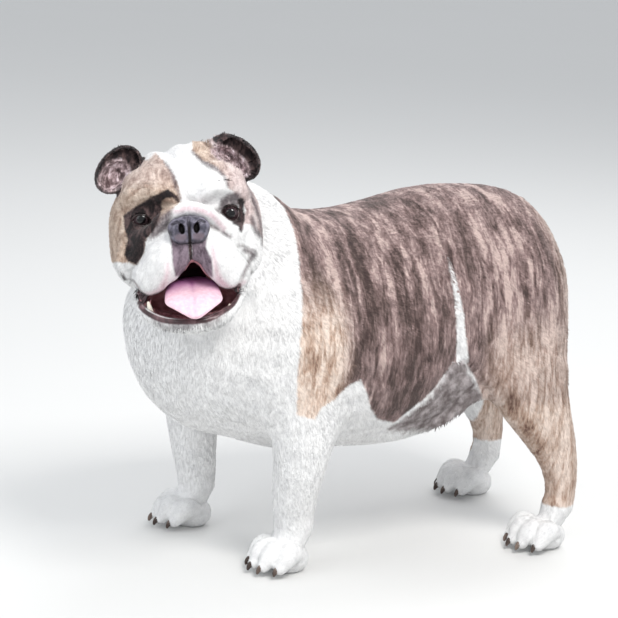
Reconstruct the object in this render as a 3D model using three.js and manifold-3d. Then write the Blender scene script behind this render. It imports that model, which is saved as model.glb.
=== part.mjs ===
// A life-size English bulldog, standing with its head turned to its left and its mouth open.
// Millimetres, +Z up, the floor at Z 0. The dog faces -Y, and its left side is +X.
// The origin lies on the floor, under the middle of the model's outer box.
import * as THREE from "three";
import { mergeVertices } from "three/addons/utils/BufferGeometryUtils.js";
import Module from "manifold-3d";

const wasm = await Module();
wasm.setup();

// Driving dimensions of the trunk
const BACK_HEIGHT = 385; // floor to the dip behind the withers
const ROACH = 25; // rise of the loin above the dip
const BRISKET_HEIGHT = 112; // floor to the chest's lowest line
const CHEST_HALF_WIDTH = 140;
const LOIN_HALF_WIDTH = 108;
const SWAY = 0.06; // sideways drift of the spine for each millimetre towards the rump
const TAIL_LENGTH = 62;

// Driving dimensions of the limbs: where each foot stands, and how stout each part is
const FORE_FOOT = { left: [80, -160], right: [-109, -178] };
const HIND_FOOT = { left: [122, 160], right: [-92, 208] };
const SHOULDER_SPREAD = 104; // from the spine to the middle of the upper arm
const SHOULDER_Y = -160;
const HIP_SPREAD = 84;
const HIP_Y = 122;
const ELBOW_BOW = 8; // how far the elbows stand out from the line from shoulder to foot
const FOREARM_RADIUS = 31;
const PASTERN_RADIUS = 22;
const HOCK_HEIGHT = 96;
const HOCK_RADIUS = 21;
const PAW_HALF_WIDTH = 29;
const PAW_TURN = { fore: 8, hind: 4 }; // degrees outwards
const PAW_CUT_HEIGHT = 46; // where a paw is parted from its leg
const TOE_RADIUS = 12;
const CLAW_LENGTH = 12;

// Driving dimensions of the head in its own frame, with its origin midway between the eyes and the face to -Y
const HEAD_PLACE = [104, -315, 409];
const HEAD_TURN = { yaw: 63, pitch: 13, roll: -6 }; // degrees: to the dog's left, nose up, right ear down
const EYE_SPACING = 92;
const EYE_RADIUS = 11.5;
const LID_THICKNESS = 3.2;
const SKULL_HALF_WIDTH = 68;
const SKULL_TOP = 77;
const CHEEK_HALF_WIDTH = 80;
const CHIN_DEPTH = 116; // below the eye line, with the mouth open
const NOSE_HALF_WIDTH = 21;
const TONGUE_HALF_WIDTH = 29;
const EAR_PLACE = { left: [57, 28, 58], right: [-66, 28, 54] };
const EAR_HALF_LENGTH = 30;
const EAR_HALF_WIDTH = 21;
const EAR_THICKNESS = 4;
const GAP = 0.3; // kept between parts that touch

const SIDES = { left: 1, right: -1 };
const ORIGIN = [0, 0, 0];
const UP = [0, 0, 1];
const AHEAD = [0, -1, 0];

const vector = (p) => new THREE.Vector3(p[0], p[1], p[2]);
const radians = THREE.MathUtils.degToRad;

// A geometry as a solid that can be joined and cut. One that is inside out is turned.
function solid(geometry) {
  const bare = geometry.clone();
  bare.deleteAttribute("normal");
  bare.deleteAttribute("uv");
  const merged = mergeVertices(bare, 1e-4);
  const vertProperties = merged.attributes.position.array;
  const triVerts = new Uint32Array(merged.index.array);
  const made = new wasm.Manifold(new wasm.Mesh({ numProp: 3, vertProperties, triVerts }));
  if (made.volume() > 0) return made;
  triVerts.reverse();
  return new wasm.Manifold(new wasm.Mesh({ numProp: 3, vertProperties, triVerts }));
}

// A solid's surface as a geometry.
function surface(made) {
  const mesh = made.getMesh();
  const places = new Float32Array(mesh.numVert * 3);
  for (let i = 0; i < mesh.numVert; i += 1) {
    places.set(mesh.vertProperties.subarray(i * mesh.numProp, i * mesh.numProp + 3), i * 3);
  }
  const geometry = new THREE.BufferGeometry();
  geometry.setAttribute("position", new THREE.BufferAttribute(places, 3));
  geometry.setIndex(new THREE.BufferAttribute(new Uint32Array(mesh.triVerts), 1));
  return geometry;
}

const fused = (solids) => solids.reduce((whole, next) => whole.add(next));
const moved = (made, matrix) => solid(surface(made).applyMatrix4(matrix));

// The largest closed surface of a solid, which drops any loose scrap.
function largest(made) {
  return made.decompose().sort((a, b) => b.volume() - a.volume())[0];
}

// A sphere stretched to three radii, turned in degrees about X, Y and Z, and set in place.
function ball(at, radii, { turn = ORIGIN, around = 16, rings = 12 } = {}) {
  const geometry = new THREE.SphereGeometry(1, around, rings);
  geometry.rotateX(Math.PI / 2);
  const turned = new THREE.Quaternion().setFromEuler(new THREE.Euler(...turn.map(radians)));
  geometry.applyMatrix4(new THREE.Matrix4().compose(vector(at), turned, vector(radii)));
  return solid(geometry);
}

// A sphere whose rings are strung along a curve through the stations, and round off at both ends.
// Each station gives its place, half width and half height. `square` above 2 flattens the section's
// sides, and `grow` swells the form.
function strung(stations, { around = 16, rings = 12, up = UP, square = 2, blunt = 1, grow = 0 } = {}) {
  const path = new THREE.CatmullRomCurve3(stations.map((station) => vector(station.at)));
  const girths = new THREE.CatmullRomCurve3(
    stations.map(({ wide, high }) => new THREE.Vector3(wide + grow, high + grow, 0)),
  );
  const steps = 120;
  const lengths = path.getLengths(steps);
  const [head, tail] = [stations[0], stations[stations.length - 1]].map(
    ({ wide, high }) => blunt * (0.5 * (wide + high) + grow),
  );
  const rounding = (distance, cap) => {
    const share = Math.min(1, distance / cap);
    return Math.sqrt(share * (2 - share));
  };
  const bent = (x) => Math.sign(x) * Math.abs(x) ** (2 / square);
  const geometry = new THREE.SphereGeometry(1, around, rings);
  const places = geometry.attributes.position;
  for (let i = 0; i < places.count; i += 1) {
    const along = THREE.MathUtils.clamp((1 - places.getY(i)) / 2, 0, 1);
    const angle = Math.atan2(places.getZ(i), places.getX(i));
    const travelled = lengths[Math.round(along * steps)];
    const share = rounding(travelled, head) * rounding(lengths[steps] - travelled, tail);
    const girth = girths.getPoint(along);
    const tangent = path.getTangent(along);
    const side = new THREE.Vector3().crossVectors(tangent, vector(up)).normalize();
    const over = new THREE.Vector3().crossVectors(side, tangent);
    const spot = path
      .getPoint(along)
      .addScaledVector(tangent, grow * (2 * along - 1))
      .addScaledVector(side, share * bent(Math.cos(angle)) * girth.x)
      .addScaledVector(over, share * bent(Math.sin(angle)) * girth.y);
    places.setXYZ(i, spot.x, spot.y, spot.z);
  }
  return solid(geometry);
}

// The same points on one side of the head or on the other.
const onSide = (side, points) => points.map(([x, y, z]) => [side * x, y, z]);

// Everything on one side of the plane through `at`: the side that `facing` points to.
function beyond(at, facing) {
  const size = 1200;
  const geometry = new THREE.BoxGeometry(size, size, size);
  geometry.translate(0, 0, size / 2);
  const turned = new THREE.Quaternion().setFromUnitVectors(vector(UP), vector(facing).normalize());
  geometry.applyQuaternion(turned);
  geometry.translate(at[0], at[1], at[2]);
  return solid(geometry);
}

// A region with flat walls, each given by a point and its outward direction.
// Called with a distance, it swells by that much.
function walled(walls) {
  return (grow) =>
    walls
      .map(([at, out]) => {
        const outward = vector(out).normalize();
        const wall = vector(at).addScaledVector(outward, grow);
        return beyond(wall.toArray(), outward.negate().toArray());
      })
      .reduce((common, next) => common.intersect(next));
}

// A solid parted in two by a thin cut round a region.
function parted(whole, region) {
  const inside = largest(whole.intersect(region(-GAP / 2)));
  const outside = largest(whole.subtract(region(GAP / 2)));
  return [inside, outside];
}

// Relaxes a joined solid's surface, which rounds the creases where its forms meet and keeps its size.
function softened(made, rounds) {
  const geometry = surface(made);
  const places = geometry.attributes.position;
  const corners = geometry.index.array;
  const neighbours = Array.from({ length: places.count }, () => new Set());
  corners.forEach((corner, i) => {
    const next = corners[i % 3 === 2 ? i - 2 : i + 1];
    neighbours[corner].add(next);
    neighbours[next].add(corner);
  });
  const spots = neighbours.map((_, i) => new THREE.Vector3().fromBufferAttribute(places, i));
  const relax = (step) => {
    const pulls = spots.map((spot, i) => {
      const middle = new THREE.Vector3();
      neighbours[i].forEach((n) => middle.add(spots[n]));
      return middle.divideScalar(neighbours[i].size).sub(spot);
    });
    spots.forEach((spot, i) => spot.addScaledVector(pulls[i], step));
  };
  for (let round = 0; round < rounds; round += 1) {
    relax(0.55);
    relax(-0.57);
  }
  spots.forEach((spot, i) => places.setXYZ(i, spot.x, spot.y, spot.z));
  return largest(solid(geometry));
}

// The distance from a point to the skin of an egg, which is a sphere stretched to three radii,
// turned in degrees about X, Y and Z, and set in place.
function egg(at, radii, turn = ORIGIN) {
  const middle = vector(at);
  const unturned = new THREE.Quaternion().setFromEuler(new THREE.Euler(...turn.map(radians))).invert();
  const girth = vector(radii);
  return (spot) => {
    const near = spot.clone().sub(middle).applyQuaternion(unturned).divide(girth);
    const share = near.length();
    return (share * (share - 1)) / Math.max(near.divide(girth).length(), 1e-6);
  };
}

// The distance from a point to a round cord through the points, thinner at its ends.
function cord(points, radius) {
  const pieces = 4 * (points.length - 1);
  const stops = new THREE.CatmullRomCurve3(points.map(vector)).getPoints(pieces);
  const link = new THREE.Line3();
  const foot = new THREE.Vector3();
  return (spot) => {
    let nearest = Infinity;
    for (let i = 0; i < pieces; i += 1) {
      link.set(stops[i], stops[i + 1]);
      const share = link.closestPointToPointParameter(spot, true);
      const taper = Math.sin(Math.PI * THREE.MathUtils.lerp(0.2, 0.8, (i + share) / pieces));
      nearest = Math.min(nearest, link.at(share, foot).distanceTo(spot) - radius * taper);
    }
    return nearest;
  };
}

// Several distances as one, with the creases where they meet filled to the given softness.
function blended(fields, softness) {
  return (spot) =>
    fields.reduce((nearest, field) => {
      const next = field(spot);
      const fill = Math.max(softness - Math.abs(nearest - next), 0) / softness;
      return Math.min(nearest, next) - 0.25 * softness * fill * fill;
    }, 1e3);
}

// A sphere drawn out along a core from front to back, then drawn in from all round until it lies on
// the skin of a field. `girth` is about how far the skin lies from the core, and `crowding` sets the
// rings closer together at the front.
function wrapped([front, back], girth, field, { around, rings, reach, crowding = 0 }) {
  const geometry = new THREE.SphereGeometry(1, around, rings);
  const places = geometry.attributes.position;
  const core = new THREE.Line3(vector(front), vector(back));
  const span = core.distance();
  const quarter = (girth * Math.PI) / 2;
  for (let i = 0; i < places.count; i += 1) {
    const even = Math.acos(THREE.MathUtils.clamp(places.getY(i), -1, 1));
    const walked = ((even - crowding * Math.sin(even)) / Math.PI) * (2 * quarter + span);
    const along = THREE.MathUtils.clamp(walked - quarter, 0, span);
    const tilt = (walked - along) / girth;
    const angle = Math.atan2(places.getZ(i), places.getX(i));
    const [aside, over] = [Math.cos(angle), Math.sin(angle)];
    const out = new THREE.Vector3(Math.sin(tilt) * aside, -Math.cos(tilt), Math.sin(tilt) * over);
    const spot = core.at(span ? along / span : 0, new THREE.Vector3()).addScaledVector(out, reach);
    for (let step = 0; step < 80; step += 1) {
      const distance = field(spot);
      if (Math.abs(distance) < 0.02) break;
      spot.addScaledVector(out, -0.7 * distance);
    }
    places.setXYZ(i, spot.x, spot.y, spot.z);
  }
  return solid(geometry);
}

// A flat outline in X and Z, smoothed and pushed through from one Y to another.
function punch(outline, from, to) {
  const shape = new THREE.Shape();
  shape.moveTo(...outline[0]);
  shape.splineThru([...outline.slice(1), outline[0]].map(([x, z]) => new THREE.Vector2(x, z)));
  const depth = to - from;
  const geometry = new THREE.ExtrudeGeometry(shape, { depth, bevelEnabled: false, curveSegments: 2 });
  geometry.rotateX(Math.PI / 2);
  geometry.translate(0, to, 0);
  return solid(geometry);
}

// The groups that hold the parts: the dog's own frame, and the head's frame within it
const dog = new THREE.Group();
const headGroup = new THREE.Group();
headGroup.position.set(...HEAD_PLACE);
headGroup.rotation.set(radians(-HEAD_TURN.pitch), radians(HEAD_TURN.roll), radians(HEAD_TURN.yaw), "ZXY");
dog.add(headGroup);
dog.updateMatrixWorld(true);
const headMatrix = headGroup.matrixWorld.clone();
const bodyFromHead = (p) => vector(p).applyMatrix4(headMatrix).toArray();
const turnedWithHead = (p) => vector(p).transformDirection(headMatrix).toArray();

// The spine's sideways place at a distance along the body
const spineAt = (y) => SWAY * y;

// The distance from a point to a barrel along Y.
// Each station gives its Y, the heights of its top and bottom, and its half width.
function barrel(stations) {
  const sizes = new THREE.CubicInterpolant(
    stations.map(([y]) => y),
    stations.flatMap(([, top, bottom, wide]) => [top, bottom, wide]),
    3,
  );
  const [front, back] = [stations[0][0], stations[stations.length - 1][0]];
  return (spot) => {
    const [top, bottom, wide] = sizes.evaluate(THREE.MathUtils.clamp(spot.y, front, back));
    const high = (top - bottom) / 2;
    const share = Math.hypot((spot.x - spineAt(spot.y)) / wide, (spot.z - (top + bottom) / 2) / high);
    return Math.max((share - 1) * Math.min(wide, high), front - spot.y, spot.y - back);
  };
}

// The trunk: a barrel from the chest over the roached loin to the croup, with the forechest,
// shoulders, rump and thighs
function trunkForm() {
  const loin = BACK_HEIGHT + ROACH;
  const ribs = barrel([
    [-226, BACK_HEIGHT - 22, BRISKET_HEIGHT + 40, 0.8 * CHEST_HALF_WIDTH],
    [-150, BACK_HEIGHT - 1, BRISKET_HEIGHT + 6, 0.97 * CHEST_HALF_WIDTH],
    [-70, BACK_HEIGHT - 2, BRISKET_HEIGHT + 2, CHEST_HALF_WIDTH],
    [-10, BACK_HEIGHT + 7, BRISKET_HEIGHT, 0.96 * CHEST_HALF_WIDTH],
    [46, loin - 4, BRISKET_HEIGHT + 9, 1.12 * LOIN_HALF_WIDTH],
    [96, loin - 3, BRISKET_HEIGHT + 36, 0.96 * LOIN_HALF_WIDTH],
    [144, loin - 12, BRISKET_HEIGHT + 74, 0.84 * LOIN_HALF_WIDTH],
    [176, loin - 32, BRISKET_HEIGHT + 100, 0.74 * LOIN_HALF_WIDTH],
  ]);
  const masses = [
    egg([-16, -223, 246], [106, 76, 98]),
    egg([-6, -160, 296], [100, 84, 84]),
    egg([spineAt(150), 148, 302], [86, 70, 88]),
    egg([spineAt(165), 160, 236], [66, 46, 52]),
  ];
  const sides = Object.values(SIDES).flatMap((side) => [
    egg([spineAt(SHOULDER_Y) + side * SHOULDER_SPREAD, SHOULDER_Y, 236], [34, 60, 86], [10, side * 6, 0]),
    egg([spineAt(HIP_Y) + side * HIP_SPREAD, HIP_Y, 262], [35, 68, 90], [-12, side * -4, 0]),
    egg([spineAt(HIP_Y) + side * (HIP_SPREAD + 10), HIP_Y + 20, 214], [30, 54, 56], [-20, side * -6, 0]),
  ]);
  const core = [
    [spineAt(-205), -205, 256],
    [spineAt(140), 140, 296],
  ];
  const field = blended([ribs, ...masses, ...sides], 34);
  return wrapped(core, 110, field, { around: 30, rings: 30, reach: 230 });
}

// The neck, from inside the chest up and round to the back of the turned head, with its crest and throat
function neckForms() {
  const nape = bodyFromHead([0, 84, 2]);
  const throat = bodyFromHead([0, 56, -76]);
  const stations = [
    { at: [-8, -128, 296], wide: 104, high: 92 },
    { at: [2, -196, 328], wide: 96, high: 90 },
    { at: [nape[0] - 18, nape[1] + 24, nape[2] - 26], wide: 82, high: 82 },
    { at: [nape[0] + 22, nape[1] - 12, nape[2] - 22], wide: 68, high: 68 },
  ];
  return [
    strung(stations, { around: 18, rings: 12, blunt: 0.6 }),
    ball(nape, [58, 56, 44], { turn: [0, 0, HEAD_TURN.yaw], around: 14, rings: 10 }),
    ball(throat, [62, 58, 46], { turn: [0, 0, HEAD_TURN.yaw], around: 14, rings: 10 }),
  ];
}

// One foreleg, from the shoulder to the pastern
function forelegForm(name) {
  const [footX, footY] = FORE_FOOT[name];
  const shoulderX = spineAt(SHOULDER_Y) + SIDES[name] * SHOULDER_SPREAD;
  const across = (share, bow = 0) => THREE.MathUtils.lerp(shoulderX, footX, share) + SIDES[name] * bow;
  const stations = [
    { at: [across(0), SHOULDER_Y, 236], wide: 28, high: 48 },
    { at: [across(0.3, ELBOW_BOW), footY + 8, 184], wide: 35, high: 44 },
    { at: [across(0.6, ELBOW_BOW), footY + 6, 128], wide: FOREARM_RADIUS, high: FOREARM_RADIUS + 1 },
    { at: [across(0.9), footY + 7, 78], wide: PASTERN_RADIUS + 4, high: PASTERN_RADIUS + 4 },
    { at: [footX, footY + 10, 46], wide: PASTERN_RADIUS, high: PASTERN_RADIUS },
    { at: [footX, footY + 2, 24], wide: PASTERN_RADIUS + 1, high: PASTERN_RADIUS + 2 },
  ];
  return strung(stations, { around: 14, rings: 13, up: AHEAD, blunt: 0.7 });
}

// One hind leg, from the haunch over the stifle and the hock to the foot
function hindLegForm(name) {
  const [footX, footY] = HIND_FOOT[name];
  const hipX = spineAt(HIP_Y) + SIDES[name] * HIP_SPREAD;
  const place = (share, behind, height) => [
    THREE.MathUtils.lerp(hipX, footX, share),
    THREE.MathUtils.lerp(HIP_Y, footY - 38, share) + behind,
    height,
  ];
  const stations = [
    { at: place(0.1, -4, 258), wide: 26, high: 50 },
    { at: place(0.4, 6, 216), wide: 33, high: 60 },
    { at: place(0.7, 24, 170), wide: 31, high: 45 },
    { at: place(0.9, 46, 126), wide: 24, high: 30 },
    { at: place(1, 56, HOCK_HEIGHT), wide: HOCK_RADIUS, high: HOCK_RADIUS + 2 },
    { at: place(1, 61, 62), wide: HOCK_RADIUS - 3, high: HOCK_RADIUS - 3 },
    { at: place(1, 50, 26), wide: HOCK_RADIUS, high: HOCK_RADIUS + 1 },
  ];
  return strung(stations, { around: 14, rings: 15, up: AHEAD, blunt: 0.7 });
}

// Where a paw's toes lie, from the dog's right to its left.
// Each has its share of the half width, its reach ahead of the paw's middle and its fanning in degrees.
const TOES = [
  { across: -0.72, ahead: 17, fan: -13 },
  { across: -0.25, ahead: 27, fan: -4 },
  { across: 0.25, ahead: 27, fan: 4 },
  { across: 0.72, ahead: 17, fan: 13 },
];

// A paw about its own middle, toes to -Y, on flat pads
function pawForm() {
  const toes = TOES.map(({ across, ahead, fan }) => {
    const x = across * PAW_HALF_WIDTH;
    const tip = x + 14 * Math.sin(radians(fan));
    return cord([[0.8 * x, 8, 24], [x, 6 - ahead, 26], [tip, -ahead - 8, 12]], 1.1 * TOE_RADIUS);
  });
  const heel = egg([0, 2, 16], [PAW_HALF_WIDTH - 4, 25, 21]);
  const field = blended([heel, ...toes], 3);
  const middle = [0, -4, 14];
  const whole = wrapped([middle, middle], 1, field, { around: 20, rings: 12, reach: 60, crowding: 0.3 });
  return whole.intersect(beyond(ORIGIN, UP));
}

// A claw about its paw's middle, curved down to just above the floor
function clawForm({ across, ahead, fan }, grow = 0) {
  const station = (reach, height, wide) => ({
    at: [across * PAW_HALF_WIDTH + reach * Math.sin(radians(fan)), -ahead - reach, height],
    wide,
    high: 1.2 * wide,
  });
  const stations = [station(7, 17, 3), station(14, 14, 2.8), station(9 + CLAW_LENGTH, 5, 1)];
  return strung(stations, { around: 6, rings: 5, grow });
}

// A short, low-set tail
function tailForm(grow = 0) {
  const [x, y, z] = [spineAt(200), 192, 338];
  const stations = [
    { at: [x, y, z], wide: 17, high: 17 },
    { at: [x, y + 24, z - 0.35 * TAIL_LENGTH], wide: 15, high: 13 },
    { at: [x - 3, y + 31, z - TAIL_LENGTH], wide: 9, high: 8 },
  ];
  return strung(stations, { around: 10, rings: 9, grow });
}

// The skull, brows, cheeks, muzzle and hanging lips, in the head's frame
function skullFields() {
  const sides = Object.values(SIDES).flatMap((side) => [
    egg([side * 34, 6, 27], [31, 26, 25]),
    egg([side * 50, 30, -2], [29, 38, 36]),
    egg([side * 48, 40, -28], [CHEEK_HALF_WIDTH - 48, 48, 44]),
    egg([side * 28, -30, -46], [22, 22, 24], [0, side * -24, 0]),
    egg([side * 42, -22, -62], [19, 20, 20]),
  ]);
  return [
    egg([0, 46, 18], [SKULL_HALF_WIDTH, 66, SKULL_TOP - 18]),
    egg([0, 8, -22], [60, 40, 38]),
    egg([0, -16, -30], [34, 34, 28]),
    ...sides,
  ];
}

// The roll of skin over the nose, the bags under the eyes, the brow wrinkles and the cheek folds
function foldFields() {
  const halfRoll = [
    [16, -38, 2],
    [34, -29, -10],
    [48, -15, -26],
    [60, 0, -48],
  ];
  const overNose = [...onSide(-1, halfRoll).reverse(), [0, -39, 6], ...halfRoll];
  const bag = [[28, -15, -12], [46, -16, -19], [62, 0, -15]];
  const brow = [[14, -19, 19], [35, -22, 29], [60, -2, 21]];
  const wrinkle = [[12, -9, 38], [32, -9, 47], [54, 6, 40]];
  const cheek = [[70, -2, -28], [74, 2, -44], [68, 6, -60]];
  const sides = Object.values(SIDES).flatMap((side) => [
    cord(onSide(side, bag), 6),
    cord(onSide(side, brow), 9),
    cord(onSide(side, wrinkle), 8),
    cord(onSide(side, cheek), 9),
  ]);
  return [cord(overNose, 8), ...sides];
}

// The lower jaw: a broad chin, its raised lip and the throat behind it
function jawFields() {
  const halfLip = [
    [30, -38, 10 - CHIN_DEPTH],
    [50, -18, 25 - CHIN_DEPTH],
    [63, 8, 48 - CHIN_DEPTH],
  ];
  const lip = [...onSide(-1, halfLip).reverse(), [0, -45, 6 - CHIN_DEPTH], ...halfLip];
  return [
    egg([0, 0, 22 - CHIN_DEPTH], [50, 46, 22]),
    egg([0, 34, 42 - CHIN_DEPTH], [60, 50, 38]),
    cord(lip, 9),
  ];
}

// A lower canine, rooted inside the lip
function canineForm(side) {
  const station = (z, wide) => ({ at: [side * 41, -22, z - CHIN_DEPTH], wide, high: wide });
  return strung([station(15, 3.6), station(23, 3.2), station(31, 1.2)], { around: 8, rings: 6, up: AHEAD });
}

// The open mouth: an arch between the hanging lips, out to both corners, and the hollow behind it
function mouthSpace() {
  const upperEdge = [[10, -60], [20, -70], [32, -79], [44, -82], [54, -74], [61, -62]];
  const lowerEdge = [[57, -74], [47, -85], [32, -96], [14, -101]];
  const half = [...upperEdge, ...lowerEdge];
  const otherHalf = half.map(([x, z]) => [-x, z]).reverse();
  const outline = [[0, -48], ...half, [0, -102], ...otherHalf];
  const hollow = ball([0, 0, -84], [46, 32, 17], { turn: [-12, 0, 0], around: 18, rings: 10 });
  return punch(outline, -90, 0).add(hollow);
}

// The tongue, broad and flat, lying forward over the lower lip
function tongueForm(grow = 0) {
  const stations = [
    { at: [0, 34, -78], wide: 0.6 * TONGUE_HALF_WIDTH, high: 7 },
    { at: [0, -4, -79], wide: 0.86 * TONGUE_HALF_WIDTH, high: 6 },
    { at: [0, -38, -86], wide: TONGUE_HALF_WIDTH, high: 5.5 },
    { at: [0, -56, -95], wide: 0.88 * TONGUE_HALF_WIDTH, high: 5 },
    { at: [0, -63, -105], wide: 0.5 * TONGUE_HALF_WIDTH, high: 4 },
  ];
  return strung(stations, { around: 14, rings: 12, grow, blunt: 0.4 });
}

// The nose, set back between the eyes
function noseForm(grow = 0) {
  const stations = [
    { at: [0, -43, -1], wide: 0.72 * NOSE_HALF_WIDTH, high: 9 },
    { at: [0, -46, -14], wide: NOSE_HALF_WIDTH, high: 12 },
    { at: [0, -45, -31], wide: 0.62 * NOSE_HALF_WIDTH, high: 9 },
  ];
  return strung(stations, { around: 14, rings: 10, up: AHEAD, square: 2.3, grow });
}

// Both nostrils, with the slits that run out of them to the sides
function nostrilSpaces() {
  return Object.values(SIDES).flatMap((side) => [
    ball([side * 8, -58, -15], [3.4, 8, 6.5], { turn: [0, side * 14, 0], around: 8, rings: 6 }),
    ball([side * 14, -55, -10], [6, 5, 2], { turn: [0, side * 20, 0], around: 8, rings: 6 }),
  ]);
}

const eyePlace = (side) => [(side * EYE_SPACING) / 2, 0, 0];

function eyeForm(side, radius = EYE_RADIUS) {
  return ball(eyePlace(side), [radius, radius, radius], { around: 12, rings: 8 });
}

// The almond opening between one eye's lids
function lidOpening(side) {
  const almond = [[-9.5, -2], [-4, 5.4], [4, 6], [9.5, 1], [5, -5.6], [-4, -6.4]];
  const outline = almond.map(([x, z]) => [side * (EYE_SPACING / 2 + x), z]);
  return punch(outline, -60, 2);
}

// One ear: a thick-rimmed cup, open to the front, that slants down from the crown to its outer tip
function earForm(side, hollowed = true) {
  const [x, y, z] = EAR_PLACE[side > 0 ? "left" : "right"];
  const turn = [0, side * 44, side * -8];
  const shape = { turn, around: 12, rings: 9 };
  const grow = hollowed ? 0 : GAP;
  const outer = ball([x, y, z], [EAR_HALF_LENGTH + grow, 20 + grow, EAR_HALF_WIDTH + grow], shape);
  if (!hollowed) return outer;
  const within = [EAR_HALF_LENGTH - EAR_THICKNESS, 22, EAR_HALF_WIDTH - EAR_THICKNESS];
  return outer.subtract(ball([x - side, y - 12, z - 1], within, shape));
}

// The points that the skull's skin and the jaw's skin are drawn in towards
const SKULL_CORE = [0, 14, -24];
const JAW_CORE = [0, 12, -92];

// The head with all its openings, in its own frame
function headForm() {
  const upper = blended([...skullFields(), ...foldFields()], 9);
  const lower = blended(jawFields(), 9);
  const skull = wrapped([SKULL_CORE, SKULL_CORE], 1, upper, { around: 54, rings: 32, reach: 150, crowding: 0.4 });
  const jaw = wrapped([JAW_CORE, JAW_CORE], 1, lower, { around: 36, rings: 18, reach: 120, crowding: 0.3 });
  let head = softened(skull, 5).add(softened(jaw, 5));
  head = head.subtract(mouthSpace()).add(canineForm(-1)).add(canineForm(1));
  Object.values(SIDES).forEach((side) => {
    const lids = eyeForm(side, EYE_RADIUS + GAP + LID_THICKNESS);
    head = head.add(lids).subtract(eyeForm(side, EYE_RADIUS + GAP)).subtract(lidOpening(side));
    head = head.subtract(earForm(side, false));
  });
  const philtrum = strung(
    [
      { at: [0, -54, -26], wide: 1.2, high: 3 },
      { at: [0, -54, -38], wide: 1.2, high: 3 },
      { at: [0, -50, -50], wide: 1.2, high: 3 },
    ],
    { around: 6, rings: 6, up: AHEAD },
  );
  return head.subtract(philtrum).subtract(noseForm(GAP)).subtract(tongueForm(GAP));
}

// The region in front of the plane that parts the head from the neck, and the region of the neck itself
const headRegion = walled([[bodyFromHead([0, 60, 0]), turnedWithHead([0, 1, -0.3])]]);
const neckRegion = walled([[[0, -125, 400], [0, 0.6, -0.8]]]);

// The region of one limb: an egg round its upper part and everything below, outside an inner wall.
function limbRegion(name, { at, radii, inner, low, near }) {
  const side = SIDES[name];
  const [across, along, height] = at;
  const middle = [spineAt(along) + side * across, along, height];
  const wall = walled([[[spineAt(along) + side * inner, 0, 0], [-side, 0, 0]]]);
  const below = walled([
    [[0, 0, low], UP],
    [[0, near, 0], [0, -Math.sign(near), 0]],
  ]);
  return (grow) => {
    const swollen = radii.map((radius) => radius + grow);
    return ball(middle, swollen, { around: 14, rings: 10 }).add(below(grow)).intersect(wall(grow));
  };
}
const FORELEG_ROOT = {
  at: [SHOULDER_SPREAD, SHOULDER_Y, 140],
  radii: [90, 78, 116],
  inner: 44,
  low: 106,
  near: -88,
};
const HIND_LEG_ROOT = {
  at: [HIP_SPREAD, HIP_Y, 196],
  radii: [90, 84, 128],
  inner: 40,
  low: 152,
  near: 52,
};

// The whole body in one piece, and the parts cut from it one after the other
function bodyParts() {
  const legs = Object.keys(SIDES).flatMap((name) => [forelegForm(name), hindLegForm(name)]);
  const body = softened(fused([trunkForm(), ...neckForms(), ...legs]), 4);
  const mouth = moved(mouthSpace().add(tongueForm(GAP)), headMatrix);
  const whole = body.subtract(mouth.intersect(headRegion(0))).add(moved(headForm(), headMatrix));
  const parts = {};
  let rest;
  [parts.head, rest] = parted(whole, headRegion);
  [parts.neck, rest] = parted(rest, neckRegion);
  Object.keys(SIDES).forEach((name) => {
    [parts["foreleg_" + name], rest] = parted(rest, limbRegion(name, FORELEG_ROOT));
    [parts["hindleg_" + name], rest] = parted(rest, limbRegion(name, HIND_LEG_ROOT));
  });
  parts.torso = largest(rest.subtract(tailForm(GAP)));
  return parts;
}

const FINISHES = {
  white: { color: "#e6e0dc", roughness: 0.85 },
  brindle: { color: "#86695a", roughness: 0.85 },
  ear: { color: "#4b3034", roughness: 0.8 },
  nose: { color: "#3b3539", roughness: 0.45 },
  tongue: { color: "#e09aa6", roughness: 0.4 },
  eye: { color: "#1d1210", roughness: 0.08 },
  claw: { color: "#4a3f3c", roughness: 0.4 },
};

// Adds one named part to a group.
function add(group, name, made, finish) {
  const material = new THREE.MeshStandardMaterial({ ...FINISHES[finish], metalness: 0 });
  const mesh = new THREE.Mesh(surface(made), material);
  mesh.name = name;
  group.add(mesh);
}

// Parts one paw from its leg, sets its claws into it, and adds all of them.
function addLimb(kind, name, leg, finish) {
  const [x, y] = (kind === "fore" ? FORE_FOOT : HIND_FOOT)[name];
  const group = new THREE.Group();
  group.position.set(x, y, 0);
  group.rotation.z = radians(SIDES[name] * PAW_TURN[kind]);
  dog.add(group);
  group.updateMatrixWorld(true);
  const matrix = group.matrixWorld.clone();
  const whole = leg.add(moved(pawForm(), matrix));
  const [pawPiece, legPiece] = parted(whole, walled([[[0, 0, PAW_CUT_HEIGHT], UP]]));
  const pockets = fused(TOES.map((toe) => clawForm(toe, GAP)));
  const paw = moved(pawPiece, matrix.invert()).subtract(pockets).intersect(beyond(ORIGIN, UP));
  add(dog, kind + "leg_" + name, legPiece, finish);
  add(group, kind + "paw_" + name, largest(paw), "white");
  TOES.forEach((toe, i) => add(group, kind + "claw_" + name + "_" + (i + 1), clawForm(toe), "claw"));
}

const parts = bodyParts();
add(dog, "torso", parts.torso, "brindle");
add(dog, "neck", parts.neck, "white");
add(dog, "tail", tailForm(), "brindle");
add(headGroup, "head", moved(parts.head, headMatrix.clone().invert()), "white");
add(headGroup, "nose", noseForm().subtract(fused(nostrilSpaces())), "nose");
add(headGroup, "tongue", tongueForm(), "tongue");
Object.entries(SIDES).forEach(([name, side]) => {
  add(headGroup, "eye_" + name, eyeForm(side), "eye");
  add(headGroup, "ear_" + name, largest(earForm(side)), "ear");
  addLimb("fore", name, parts["foreleg_" + name], "white");
  addLimb("hind", name, parts["hindleg_" + name], "brindle");
});

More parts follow.
